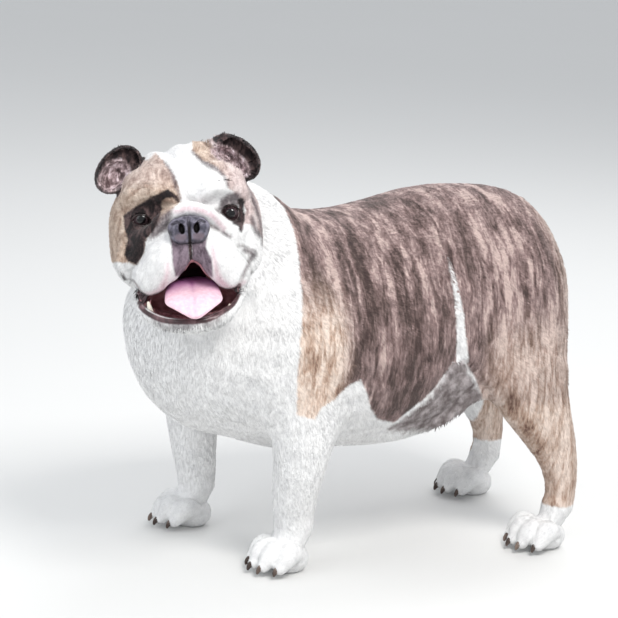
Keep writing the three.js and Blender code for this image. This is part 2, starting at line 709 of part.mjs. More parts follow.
const middle = new THREE.Box3().setFromObject(dog, true).getCenter(new THREE.Vector3());
dog.position.set(-middle.x, -middle.y, 0);

export default dog;
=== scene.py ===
"""The looks of a life-size English bulldog: its skin, short coat, eyes, nose, tongue, teeth and claws.

Shapes are worked out in millimetres in the dog's own frame, where the dog faces -Y and its left side is +X,
or in the head's frame, whose origin lies midway between the eyes. Meshes are made in metres in the frame of
the solids.
"""

import enum
import itertools
import logging
import math
from collections.abc import Callable
from dataclasses import dataclass, field
from typing import Union

import bmesh
import bpy
import numpy as np
from bmesh.types import BMesh
from bpy.types import Material, Mesh, Node, NodeSocket, NodeTree, Object, bpy_prop_collection
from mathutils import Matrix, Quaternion, Vector

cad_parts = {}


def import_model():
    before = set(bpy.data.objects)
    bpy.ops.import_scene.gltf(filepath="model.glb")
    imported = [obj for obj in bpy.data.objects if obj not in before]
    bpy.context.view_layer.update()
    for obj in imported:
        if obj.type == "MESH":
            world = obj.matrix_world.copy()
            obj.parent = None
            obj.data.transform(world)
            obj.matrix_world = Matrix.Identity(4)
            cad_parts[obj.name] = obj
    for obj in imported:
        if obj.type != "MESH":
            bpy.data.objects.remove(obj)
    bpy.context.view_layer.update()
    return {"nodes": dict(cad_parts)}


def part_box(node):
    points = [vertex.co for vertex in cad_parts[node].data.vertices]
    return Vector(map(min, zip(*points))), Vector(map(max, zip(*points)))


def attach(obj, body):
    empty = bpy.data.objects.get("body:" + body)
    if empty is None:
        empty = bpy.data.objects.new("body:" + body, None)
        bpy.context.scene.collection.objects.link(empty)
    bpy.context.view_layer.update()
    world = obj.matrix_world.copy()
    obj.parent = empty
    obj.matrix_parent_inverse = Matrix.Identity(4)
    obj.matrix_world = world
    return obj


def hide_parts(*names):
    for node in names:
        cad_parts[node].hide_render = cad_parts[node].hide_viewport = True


log = logging.getLogger("bulldog")

MM = 0.001
BODY = "root"
UP = np.array([0.0, 0.0, 1.0])
FAR = 1e3  # farther in millimetres than any measured distance
TINY = 1e-6  # keeps divisions off zero
Rows = np.ndarray  # points, one row each, or one number for each point
Value = Union[NodeSocket, float, tuple]


class Side(enum.Enum):
    """One side of the dog, with the sign of its X."""

    LEFT = 1
    RIGHT = -1

    @property
    def label(self) -> str:
        """The word that ends the names of this side's nodes."""
        return self.name.lower()


class Kind(enum.Enum):
    """A fore limb or a hind limb."""

    FORE = "fore"
    HIND = "hind"


class Region(enum.IntEnum):
    """One region of the coat, which becomes one piece."""

    HEAD = 0
    EARS = 1
    NECK = 2
    FLANK_LEFT = 3
    FLANK_RIGHT = 4
    FORELEGS = 5
    HINDLEGS = 6
    TAIL = 7

    @property
    def piece(self) -> str:
        """The name of the region's piece."""
        return "coat_" + self.name.lower()


def turned(degrees: tuple[float, float, float]) -> Rows:
    """The matrix that turns about Z, then Y, then X.

    Args:
        degrees: the turns about X, Y and Z.

    Returns:
        A 3 x 3 rotation matrix.
    """
    made = np.eye(3)
    for axis, angle in enumerate(np.radians(degrees)):
        first, second = (axis + 1) % 3, (axis + 2) % 3
        about = np.eye(3)
        about[first, first] = about[second, second] = math.cos(angle)
        about[second, first] = math.sin(angle)
        about[first, second] = -math.sin(angle)
        made = made @ about
    return made


def direction(azimuth: float, elevation: float) -> Rows:
    """The unit vector from the dog towards a viewpoint, by its angles in degrees from the front."""
    a, e = math.radians(azimuth), math.radians(elevation)
    return np.array([math.sin(a) * math.cos(e), -math.cos(a) * math.cos(e), math.sin(e)])


def unit_rows(rows: Rows) -> Rows:
    """Rows scaled to a length of 1, where 0 stays 0."""
    return rows / np.maximum(np.linalg.norm(rows, axis=1), TINY)[:, None]


def smooth_step(low: float, high: float, value: Rows) -> Rows:
    """A share that rises softly from 0 at low to 1 at high, or falls where high is below low."""
    share = np.clip((value - low) / (high - low), 0.0, 1.0)
    return share * share * (3.0 - 2.0 * share)


def curve_through(stops: Rows, pieces: int = 6) -> Rows:
    """Points along a smooth curve through the stops.

    Args:
        stops: the points to pass, one row each, of any width.
        pieces: how many links there are between two stops.

    Returns:
        The points, one row each.
    """
    stops = np.asarray(stops, float)
    if len(stops) < 3:
        share = np.linspace(0, 1, pieces + 1)[:, None]
        return stops[0] * (1 - share) + stops[-1] * share
    padded = np.vstack([2 * stops[0] - stops[1], stops, 2 * stops[-1] - stops[-2]])
    t = np.linspace(0, 1, pieces, endpoint=False)[:, None]
    made = []
    for a, b, c, d in zip(padded, padded[1:], padded[2:], padded[3:]):
        square, cube = 2 * a - 5 * b + 4 * c - d, 3 * b - a - 3 * c + d
        made.append(0.5 * (2 * b + (c - a) * t + square * t**2 + cube * t**3))
    return np.vstack(made + [stops[-1:]])


@dataclass
class Egg:
    """A sphere stretched to three radii, turned in degrees and set in place."""

    at: tuple
    radii: tuple
    turn: tuple = (0.0, 0.0, 0.0)

    def distance(self, points: Rows) -> Rows:
        """The distance from each point to the egg's skin, negative inside."""
        radii = np.array(self.radii)
        near = (points - np.array(self.at)) @ turned(self.turn) / radii
        share = np.linalg.norm(near, axis=1)
        return share * (share - 1) / np.maximum(np.linalg.norm(near / radii, axis=1), TINY)


@dataclass
class Cord:
    """A round cord along a curve through stops, thinner at its ends."""

    stops: list
    radius: float
    ends: float = 0.6
    reach: float = 24.0
    line: Rows = field(init=False)

    def __post_init__(self) -> None:
        """Draws the curve."""
        self.line = curve_through(np.array(self.stops, float), 4)

    def walked(self, points: Rows) -> tuple[Rows, Rows]:
        """The distance from each point to the curve, and the share of the curve passed there.

        Args:
            points: one row each, as wide as the stops.

        Returns:
            The distances, and the shares from 0 at the first stop to 1 at the last.
        """
        nearest, passed = np.full(len(points), FAR), np.zeros(len(points))
        margin = self.reach + self.radius
        low, high = self.line.min(0) - margin, self.line.max(0) + margin
        close = np.flatnonzero(np.all((points > low) & (points < high), axis=1))
        if not len(close):
            return nearest, passed
        spots = points[close]
        best, share = np.full(len(close), FAR), np.zeros(len(close))
        links = len(self.line) - 1
        for i in range(links):
            start, along = self.line[i], self.line[i + 1] - self.line[i]
            t = np.clip((spots - start) @ along / max(along @ along, 1e-9), 0, 1)
            gap = np.linalg.norm(spots - start - t[:, None] * along, axis=1)
            nearer = gap < best
            best[nearer] = gap[nearer]
            share[nearer] = (i + t[nearer]) / links
        nearest[close], passed[close] = best, share
        return nearest, passed

    def distance(self, points: Rows) -> Rows:
        """The distance from each point to the cord's skin, negative inside."""
        gap, share = self.walked(points)
        start = math.asin(min(self.ends, 1.0)) / math.pi
        taper = np.sin(np.pi * (start + share * (1 - 2 * start)))
        return gap - self.radius * taper


def merged(first: Rows, second: Rows, softness: float) -> Rows:
    """Two distances as one, with the crease between the forms filled to the given softness."""
    fill = np.maximum(softness - np.abs(first - second), 0) / softness
    return np.minimum(first, second) - 0.25 * softness * fill * fill


def blended(forms: list, softness: float, points: Rows) -> Rows:
    """The distance from each point to several forms grown together.

    Args:
        forms: eggs and cords.
        softness: how far the creases between them are filled.
        points: one row each.

    Returns:
        The distances, negative inside.
    """
    nearest = np.full(len(points), FAR)
    for form in forms:
        nearest = merged(nearest, form.distance(points), softness)
    return nearest


def carved(form: Rows, hollow: Rows, softness: float) -> Rows:
    """The distance to a form with a hollow taken out of it, its rim rounded to the softness."""
    return -merged(-form, hollow, softness)


def outline_distance(outline: Rows, points: Rows) -> Rows:
    """The distance from each flat point to a closed outline, positive inside it.

    Args:
        outline: the corners, one row of two each.
        points: one row of two each.

    Returns:
        The distances.
    """
    x, y = points.T
    outline = np.asarray(outline, float)
    nearest = np.full(len(points), 1e6)
    inside = np.zeros(len(points), bool)
    for (ax, ay), (bx, by) in zip(outline, np.roll(outline, -1, axis=0)):
        dx, dy = bx - ax, by - ay
        t = np.clip(((x - ax) * dx + (y - ay) * dy) / max(dx * dx + dy * dy, 1e-9), 0, 1)
        nearest = np.minimum(nearest, np.hypot(x - ax - t * dx, y - ay - t * dy))
        if ay != by:
            inside ^= ((ay > y) != (by > y)) & (x < ax + (y - ay) * dx / dy)
    return np.where(inside, nearest, -nearest)


def settled(
    points: Rows, distance: Callable[[Rows], Rows], weight: Rows, rounds: int, stride: float = 1.6
) -> Rows:
    """Moves points along a distance's slope until they lie on its skin.

    Args:
        points: one row each.
        distance: a function from points to distances.
        weight: how far each point may follow, from 0 to 1.
        rounds: how often the points are moved.
        stride: the longest move of one round.

    Returns:
        The moved points.
    """
    spots = points.copy()
    probe = 0.35
    for _ in range(rounds):
        here = distance(spots)
        slope = np.stack([(distance(spots + probe * axis) - here) / probe for axis in np.eye(3)], axis=1)
        steep = np.maximum((slope * slope).sum(1), 0.25)
        move = -slope * (here / steep)[:, None]
        size = np.maximum(np.linalg.norm(move, axis=1), 1e-9)
        spots += move * (np.minimum(size, stride) / size * weight)[:, None]
    return spots


@dataclass
class HeadFrame:
    """The head's own frame, midway between the eyes and turned with the head."""

    place: Rows
    yaw: float = 63.0
    pitch: float = 13.0
    roll: float = -6.0
    nape: float = 60.0
    chin: float = -118.0
    size: float = 140.0

    @property
    def matrix(self) -> Rows:
        """The turn from the head's frame to the dog's."""
        return turned((0, 0, self.yaw)) @ turned((-self.pitch, 0, 0)) @ turned((0, self.roll, 0))

    def inward(self, points: Rows) -> Rows:
        """Points of the dog's frame in the head's frame."""
        return (points - self.place) @ self.matrix

    def outward(self, points: Rows) -> Rows:
        """Points of the head's frame in the dog's frame."""
        return np.asarray(points) @ self.matrix.T + self.place

    def behind(self, local: Rows) -> Rows:
        """How far each point of the head's frame lies behind the plane where the head meets the neck."""
        return (local[:, 1] - self.nape - 0.3 * local[:, 2]) / 1.044

    def holds(self, points: Rows) -> Rows:
        """Whether each point of the dog's frame belongs to the head."""
        local = self.inward(points)
        over_chin = local[:, 2] - self.chin - 0.45 * np.maximum(local[:, 1], 0)
        close = np.linalg.norm(local - np.array([0, 10, -10]), axis=1) < self.size
        return (self.behind(local) < 4) & (over_chin > 0) & close


@dataclass
class Stance:
    """Where the dog stands in the frame of the solids, and where its feet lie and how they turn in its own
    frame.
    """

    origin: Rows
    sway: float = 0.06
    fore_feet: dict = field(default_factory=lambda: {Side.LEFT: (80, -160), Side.RIGHT: (-109, -178)})
    hind_feet: dict = field(default_factory=lambda: {Side.LEFT: (122, 160), Side.RIGHT: (-92, 208)})
    toe_turn: dict = field(default_factory=lambda: {Kind.FORE: 8, Kind.HIND: 4})
    paw_middle: float = -6.0

    def spine(self, y: Rows) -> Rows:
        """The spine's sideways place at distances along the body."""
        return self.sway * y

    def foot(self, kind: Kind, side: Side) -> tuple:
        """Where one foot stands."""
        return (self.fore_feet if kind is Kind.FORE else self.hind_feet)[side]

    def paw_inward(self, kind: Kind, side: Side, points: Rows) -> Rows:
        """Points of the dog's frame in one paw's frame, whose toes point to -Y."""
        return (points - np.array([*self.foot(kind, side), 0])) @ self.paw_turn(kind, side)

    def paw_outward(self, kind: Kind, side: Side, points: Rows) -> Rows:
        """Points of one paw's frame in the dog's frame."""
        return np.asarray(points) @ self.paw_turn(kind, side).T + np.array([*self.foot(kind, side), 0])

    def paw_turn(self, kind: Kind, side: Side) -> Rows:
        """The turn from one paw's frame to the dog's."""
        return turned((0, 0, side.value * self.toe_turn[kind]))

    def off_paw(self, local: Rows) -> Rows:
        """How far each point of a paw's frame lies sideways from the paw's middle."""
        return np.hypot(local[:, 0], local[:, 1] - self.paw_middle)

    def metres(self, points: Rows) -> Rows:
        """Points of the dog's frame in metres in the frame of the solids."""
        return (np.asarray(points) + self.origin) * MM

    def millimetres(self, places: Rows) -> Rows:
        """Places in metres in the frame of the solids as points of the dog's frame."""
        return np.asarray(places) / MM - self.origin


def read_stance() -> tuple[Stance, HeadFrame]:
    """Finds the head and the dog's own frame from the eyes of the solids.

    Returns:
        The stance, and the head's frame in it.
    """
    head_place = np.array([104.0, -315.0, 409.0])
    eyes = [np.array(corner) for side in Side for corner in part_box("eye_" + side.label)]
    between = np.mean(eyes, axis=0) / MM
    origin = between - head_place
    origin[2] = 0.0
    return Stance(origin), HeadFrame(head_place)


def rows_of(items: bpy_prop_collection, name: str, width: int, kind: type = float) -> Rows:
    """One property of all the vertices, edges or triangles of a mesh.

    Args:
        items: the mesh's own list of them.
        name: the property.
        width: how many numbers it has.
        kind: the type of its numbers.

    Returns:
        One row for each item.
    """
    flat = np.empty(len(items) * width, kind)
    items.foreach_get(name, flat)
    return flat.reshape(-1, width)


def points_of(mesh: Mesh) -> Rows:
    """A mesh's vertices, one row each."""
    return rows_of(mesh.vertices, "co", 3)


def set_points(mesh: Mesh, places: Rows) -> None:
    """Moves a mesh's vertices to new places."""
    mesh.vertices.foreach_set("co", np.ascontiguousarray(places, dtype=np.float32).ravel())
    mesh.update()


def normals_of(mesh: Mesh) -> Rows:
    """A mesh's vertex normals, one row each."""
    return rows_of(mesh.vertex_normals, "vector", 3)


def triangles_of(mesh: Mesh) -> Rows:
    """A mesh's triangles, one row of three vertex numbers each."""
    mesh.calc_loop_triangles()
    return rows_of(mesh.loop_triangles, "vertices", 3, int)


def set_value(mesh: Mesh, name: str, values: Rows) -> None:
    """Stores one number for each vertex under a name that the finishes read."""
    attribute = mesh.attributes.new(name, "FLOAT", "POINT")
    attribute.data.foreach_set("value", np.ascontiguousarray(values, dtype=np.float32))


def new_object(name: str, mesh: Mesh, smooth: bool = True) -> Object:
    """Links a mesh into the scene as one piece at the origin."""
    made = bpy.data.objects.new(name, mesh)
    bpy.context.scene.collection.objects.link(made)
    mesh.name = name
    if smooth:
        mesh.shade_smooth()
    return made


def mesh_from(bm: BMesh, name: str) -> Mesh:
    """A new mesh from a bmesh, which is let go."""
    mesh = bpy.data.meshes.new(name)
    bm.to_mesh(mesh)
    bm.free()
    return mesh


def ball_mesh(name: str, around: int, rings: int) -> Mesh:
    """A unit sphere with its poles on Z."""
    bm = bmesh.new()
    bmesh.ops.create_uvsphere(bm, u_segments=around, v_segments=rings, radius=1.0)
    return mesh_from(bm, name)


def evaluated(piece: Object) -> Mesh:
    """A new mesh of a piece with its modifiers applied."""
    bpy.context.view_layer.update()
    return bpy.data.meshes.new_from_object(piece.evaluated_get(bpy.context.evaluated_depsgraph_get()))


def joined(name: str, balls: list) -> Mesh:
    """Several closed meshes as one, with their faces turned outwards."""
    bm = bmesh.new()
    for ball in balls:
        bm.from_mesh(ball)
        bpy.data.meshes.remove(ball)
    bmesh.ops.recalc_face_normals(bm, faces=bm.faces)
    return mesh_from(bm, name)


@dataclass
class Web:
    """Which vertices of a mesh are neighbours."""

    neighbour: Rows
    start: Rows
    degree: Rows

    @classmethod
    def of(cls, mesh: Mesh) -> "Web":
        """The web of a mesh whose every vertex has a neighbour."""
        edges = rows_of(mesh.edges, "vertices", 2, int)
        both = np.concatenate([edges, edges[:, ::-1]])
        both = both[np.argsort(both[:, 0], kind="stable")]
        degree = np.bincount(both[:, 0], minlength=len(mesh.vertices))
        start = np.concatenate([[0], np.cumsum(degree)[:-1]])
        return cls(both[:, 1], start, degree)

    def pull(self, values: Rows) -> Rows:
        """How far each value lies from the mean of its neighbours' values."""
        return np.add.reduceat(values[self.neighbour], self.start, axis=0) / self.degree[:, None] - values

    def relaxed(self, points: Rows, weight: Rows, rounds: int) -> Rows:
        """Points smoothed with little loss of size.

        Args:
            points: one row each.
            weight: how far each point takes part, from 0 to 1.
            rounds: how often they are smoothed.

        Returns:
            The smoothed points.
        """
        spots = points.copy()
        share = weight[:, None]
        for _ in range(rounds):
            spots += 0.6 * share * self.pull(spots)
            spots -= 0.615 * share * self.pull(spots)
        return spots


def strung(ball: Mesh, stations: list, up: Rows = UP, blunt: float = 1.0) -> Rows:
    """A unit sphere's points with its rings strung along a curve through stations.

    Args:
        ball: a sphere with its poles on Z.
        stations: rows of x, y, z, half width and half height.
        up: the direction in which the height is measured.
        blunt: how long the rounded ends are for their thickness.

    Returns:
        The points, one row each.
    """
    unit = points_of(ball)
    line = curve_through(np.array(stations, float), 24)
    links = np.linalg.norm(np.diff(line[:, :3], axis=0), axis=1)
    walked = np.concatenate([[0], np.cumsum(links)])
    along = (1 - unit[:, 2]) / 2 * walked[-1]
    row = np.stack([np.interp(along, walked, line[:, i]) for i in range(5)], axis=1)
    ahead = np.gradient(line[:, :3], walked, axis=0)
    tangent = unit_rows(np.stack([np.interp(along, walked, ahead[:, i]) for i in range(3)], axis=1))
    side = unit_rows(np.cross(tangent, up))
    over = np.cross(side, tangent)
    caps = [blunt * 0.5 * (stations[i][3] + stations[i][4]) for i in (0, -1)]
    share = np.ones(len(unit))
    for distance, cap in zip((along, walked[-1] - along), caps):
        part = np.clip(distance / cap, 0, 1)
        share *= np.sqrt(part * (2 - part))
    angle = np.arctan2(unit[:, 1], unit[:, 0])
    wide = (share * np.cos(angle) * row[:, 3])[:, None]
    high = (share * np.sin(angle) * row[:, 4])[:, None]
    return row[:, :3] + side * wide + over * high


def mirrored(side: Side, points: list) -> list:
    """Points of the left side of the head on the given side."""
    return [(side.value * x, *rest) for x, *rest in points]


@dataclass
class Mouth:
    """The open mouth: an arch between the hanging lips, out to both corners, and the hollow behind it."""

    left: tuple = (
        (8, -52), (13, -61), (21, -70), (27, -76), (35, -79), (43, -78), (48, -74.5), (45, -85), (38, -93),
        (27, -99), (12, -103.5),
    )
    right: tuple = (
        (-7, -59), (-13, -65), (-22, -70), (-28, -75), (-34, -78), (-45, -80), (-54, -73.5), (-60, -63),
        (-57, -74), (-49, -88.5), (-35, -99), (-14, -104.5),
    )
    apex: tuple = (1, -47.5)
    base: tuple = (0, -104.8)
    outline: Rows = field(init=False)

    def __post_init__(self) -> None:
        """Draws the outline of the arch."""
        ring = [self.apex, *self.left, self.base, *reversed(self.right), self.apex]
        self.outline = curve_through(np.array(ring, float), 3)[:-1]

    def distance(self, points: Rows) -> Rows:
        """The distance from each point to the mouth's space, negative inside it."""
        arch = -outline_distance(self.outline, points[:, [0, 2]])
        through = np.maximum(arch, points[:, 1])
        hollow = Egg((0, 0, -84), (46, 32, 17), (-12, 0, 0)).distance(points)
        return np.minimum(through, hollow)


@dataclass
class HeadForm:
    """The skull, muzzle, lips, folds and jaw in the head's frame."""

    mouth: Mouth = field(default_factory=Mouth)
    eye_spacing: float = 92.0
    eye_radius: float = 11.5
    skull_softness: float = 9.0
    ear_softness: float = 5.0
    lid_thickness: float = 3.2
    eye_clearance: float = 0.2

    def eye(self, side: Side) -> Rows:
        """The middle of one eye."""
        return np.array([side.value * self.eye_spacing / 2, 0.0, 0.0])

    def lid_line(self, side: Side) -> Rows:
        """The closed outline of one eye's opening, seen from the front."""
        opening = {
            Side.LEFT: [
                (-10.2, 1.5), (-6.5, 6.6), (-1, 8.4), (4.5, 7.4), (9.5, 2.8), (9.6, -3.6), (5, -8.4),
                (-1, -8.0), (-6.5, -4.6),
            ],
            Side.RIGHT: [
                (-10.5, -3), (-6, 2.4), (0, 4.6), (6, 3.8), (10.8, -1.5), (6.5, -6), (0, -8), (-6.5, -7),
            ],
        }[side]
        ring = [(side.value * (self.eye_spacing / 2 + x), z) for x, z in opening]
        return curve_through(np.array([*ring, ring[0]]), 4)[:-1]

    def skull(self) -> list:
        """The forms of the skull, brows, cheeks and muzzle."""
        forms = [
            Egg((0, 46, 18), (68, 66, 59)),
            Egg((0, 8, -22), (60, 40, 38)),
            Egg((0, -16, -30), (34, 34, 28)),
        ]
        for side in Side:
            s = side.value
            forms += [
                Egg((s * 34, 6, 27), (31, 26, 25)),
                Egg((s * 50, 30, -2), (29, 38, 36)),
                Egg((s * 48, 40, -28), (32, 48, 44)),
                Egg((s * 28, -30, -46), (22, 22, 24), (0, s * -24, 0)),
                Egg((s * 42, -22, -62), (19, 20, 20)),
            ]
        return forms

    def folds(self) -> list:
        """The roll over the nose, the bags under the eyes, the brow's wrinkles and the cheeks' folds."""
        half = [(16, -38, 2), (34, -29, -10), (48, -15, -26), (60, 0, -48)]
        forms = [
            Cord([*mirrored(Side.RIGHT, half)[::-1], (0, -39, 6), *half], 8, 0.6),
            Cord([(13, 24, 68), (25, 21, 76), (38, 22, 80), (50, 22, 78)], 6.5, 0.7),
        ]
        for side in Side:
            forms += [
                Cord(mirrored(side, [(28, -15, -12), (46, -16, -19), (62, 0, -15)]), 6),
                Cord(mirrored(side, [(14, -19, 19), (35, -22, 29), (60, -2, 21)]), 9),
                Cord(mirrored(side, [(12, -9, 38), (32, -9, 47), (54, 6, 40)]), 8),
                Cord(mirrored(side, [(65, 0, -28), (69, 4, -44), (63, 6, -60)]), 7),
            ]
        return forms

    def jaw(self) -> list:
        """The chin, its raised lip and the throat behind it."""
        left = [(28, -38, -105), (45, -20, -89), (58, 8, -68)]
        right = [(-63, 8, -68), (-50, -18, -92), (-31, -38, -106)]
        return [
            Egg((-2, 0, -94), (49, 46, 22)),
            Egg((0, 34, -74), (60, 50, 38)),
            Cord([*right, (0, -45, -110), *left], 9),
        ]

    def creases(self, points: Rows) -> Rows:
        """The distance to the philtrum, the lips' inner grooves, the forehead's furrow and the nose's bed."""
        lines = [
            Cord([(0, -57, -27), (0, -56, -38), (0, -51, -50)], 1.2, 1.0),
            Cord([(0, -26, 22), (0, -20, 46), (0, -8, 66)], 1.7, 0.8),
        ]
        for side in Side:
            lines += [
                Cord(mirrored(side, [(20, -52, -30), (22.5, -53, -46), (25, -49, -62)]), 0.9, 0.9),
                Cord(mirrored(side, [(12, -27, 26), (30, -29, 34), (52, -14, 30)]), 1.9, 0.7),
                Cord(mirrored(side, [(13, -14, 55), (31, -9, 57), (50, 8, 49)]), 1.5, 0.7),
                Cord(mirrored(side, [(30, -14, -19), (47, -17, -26), (63, -2, -22)]), 1.2, 0.7),
                Cord(mirrored(side, [(51, -6, -35), (68, -2, -41), (62, -6, -59), (50, -14, -76)]), 1.4, 0.7),
            ]
        return np.minimum.reduce([line.distance(points) for line in lines])

    def distance(self, points: Rows) -> Rows:
        """The distance from each point to the head's skin, negative inside."""
        upper = blended([*self.skull(), *self.folds()], self.skull_softness, points)
        lower = blended(self.jaw(), self.skull_softness, points)
        whole = merged(upper, lower, 3.0)
        for side in Side:
            whole = merged(whole, Ear(side).distance(points), self.ear_softness)
        whole = carved(whole, self.mouth.distance(points), 3.5)
        whole = carved(whole, self.creases(points), 3.0)
        for side in Side:
            away = np.linalg.norm(points - self.eye(side), axis=1)
            whole = merged(whole, away - self.eye_radius - self.lid_thickness, 5.0)
            whole = carved(whole, away - self.eye_radius - self.eye_clearance, 0.6)
            opening = -outline_distance(self.lid_line(side), points[:, [0, 2]])
            whole = carved(whole, np.maximum(opening, points[:, 1] - 2.0), 1.4)
        return whole


@dataclass(frozen=True)
class Outline:
    """One marking's closed border, seen from the front of the head, and how far back it reaches."""

    corners: tuple
    back: float = 20.0

    def depth(self, local: Rows) -> Rows:
        """The distance of each point of the head's frame from the border, positive inside."""
        return np.minimum(outline_distance(self.corners, local[:, [0, 2]]), self.back - local[:, 1])


@dataclass(frozen=True)
class FaceLine:
    """A marking along a line, seen from the front of the head."""

    stops: tuple
    half_width: float
    back: float = 20.0

    def depth(self, local: Rows) -> Rows:
        """The distance of each point of the head's frame from the marking's border, positive inside."""
        line = Cord([(x, 0, z) for x, z in self.stops], self.half_width, 0.7)
        return np.minimum(-line.distance(local * np.array([1, 0, 1])), self.back - local[:, 1])


@dataclass(frozen=True)
class Stripe:
    """One stripe of the brindle coat, seen from the side, dark where its strength is negative."""

    stops: tuple
    half_width: float
    strength: float

    def share(self, flat: Rows) -> Rows:
        """How far each flat point belongs to the stripe, with its sign."""
        gap, passed = Cord(list(self.stops), self.half_width, reach=self.half_width).walked(flat)
        fade = np.sin(np.pi * np.clip(0.05 + 0.9 * passed, 0, 1)) ** 0.6
        return self.strength * fade * smooth_step(self.half_width, 0.2 * self.half_width, gap)


@dataclass
class Part:
    """What every part of the dog shares: where it stands, the head's frame and the head's forms."""

    stance: Stance
    head: HeadFrame
    form: HeadForm

    def place_on_head(self, mesh: Mesh, local: Rows) -> None:
        """Moves a mesh's vertices to places in the head's frame."""
        set_points(mesh, self.stance.metres(self.head.outward(local)))


@dataclass
class Ear:
    """One folded ear: a cup whose upper edge hangs over it as a thick flap."""

    side: Side

    @property
    def place(self) -> Rows:
        """The ear's middle in the head's frame."""
        return np.array([57, 28, 58] if self.side is Side.LEFT else [-66, 28, 54], float)

    @property
    def turn(self) -> tuple:
        """How the ear is turned in the head's frame."""
        return (0, self.side.value * 44, self.side.value * -8)

    def inward(self, local: Rows) -> Rows:
        """Points of the head's frame along the ear, across its depth and across its width, outwards."""
        return (local - self.place) @ turned(self.turn) * np.array([self.side.value, 1, 1])

    def shell(self, local: Rows, radii: tuple = (29.5, 19.5, 20.5)) -> Rows:
        """The distance to the ear's outer skin, or to a wider egg about it."""
        return Egg(tuple(self.place), radii, self.turn).distance(local)

    def cup(self, local: Rows) -> Rows:
        """The distance to the hollow of the ear."""
        middle, radii = {
            Side.LEFT: ((0, -11, -5), (21, 20, 9.5)),
            Side.RIGHT: ((7.5, -11, -1.5), (18.5, 20, 12)),
        }[self.side]
        return Egg(middle, radii).distance(self.inward(local))

    def distance(self, local: Rows) -> Rows:
        """The distance to the ear's skin, negative inside."""
        own = self.inward(local)
        burr = Cord([(-16, 4, -10), (-4, 6, -4), (10, 5, -3)], 3.2).distance(own)
        return merged(carved(self.shell(local), self.cup(local), 2.0), burr, 3.0)


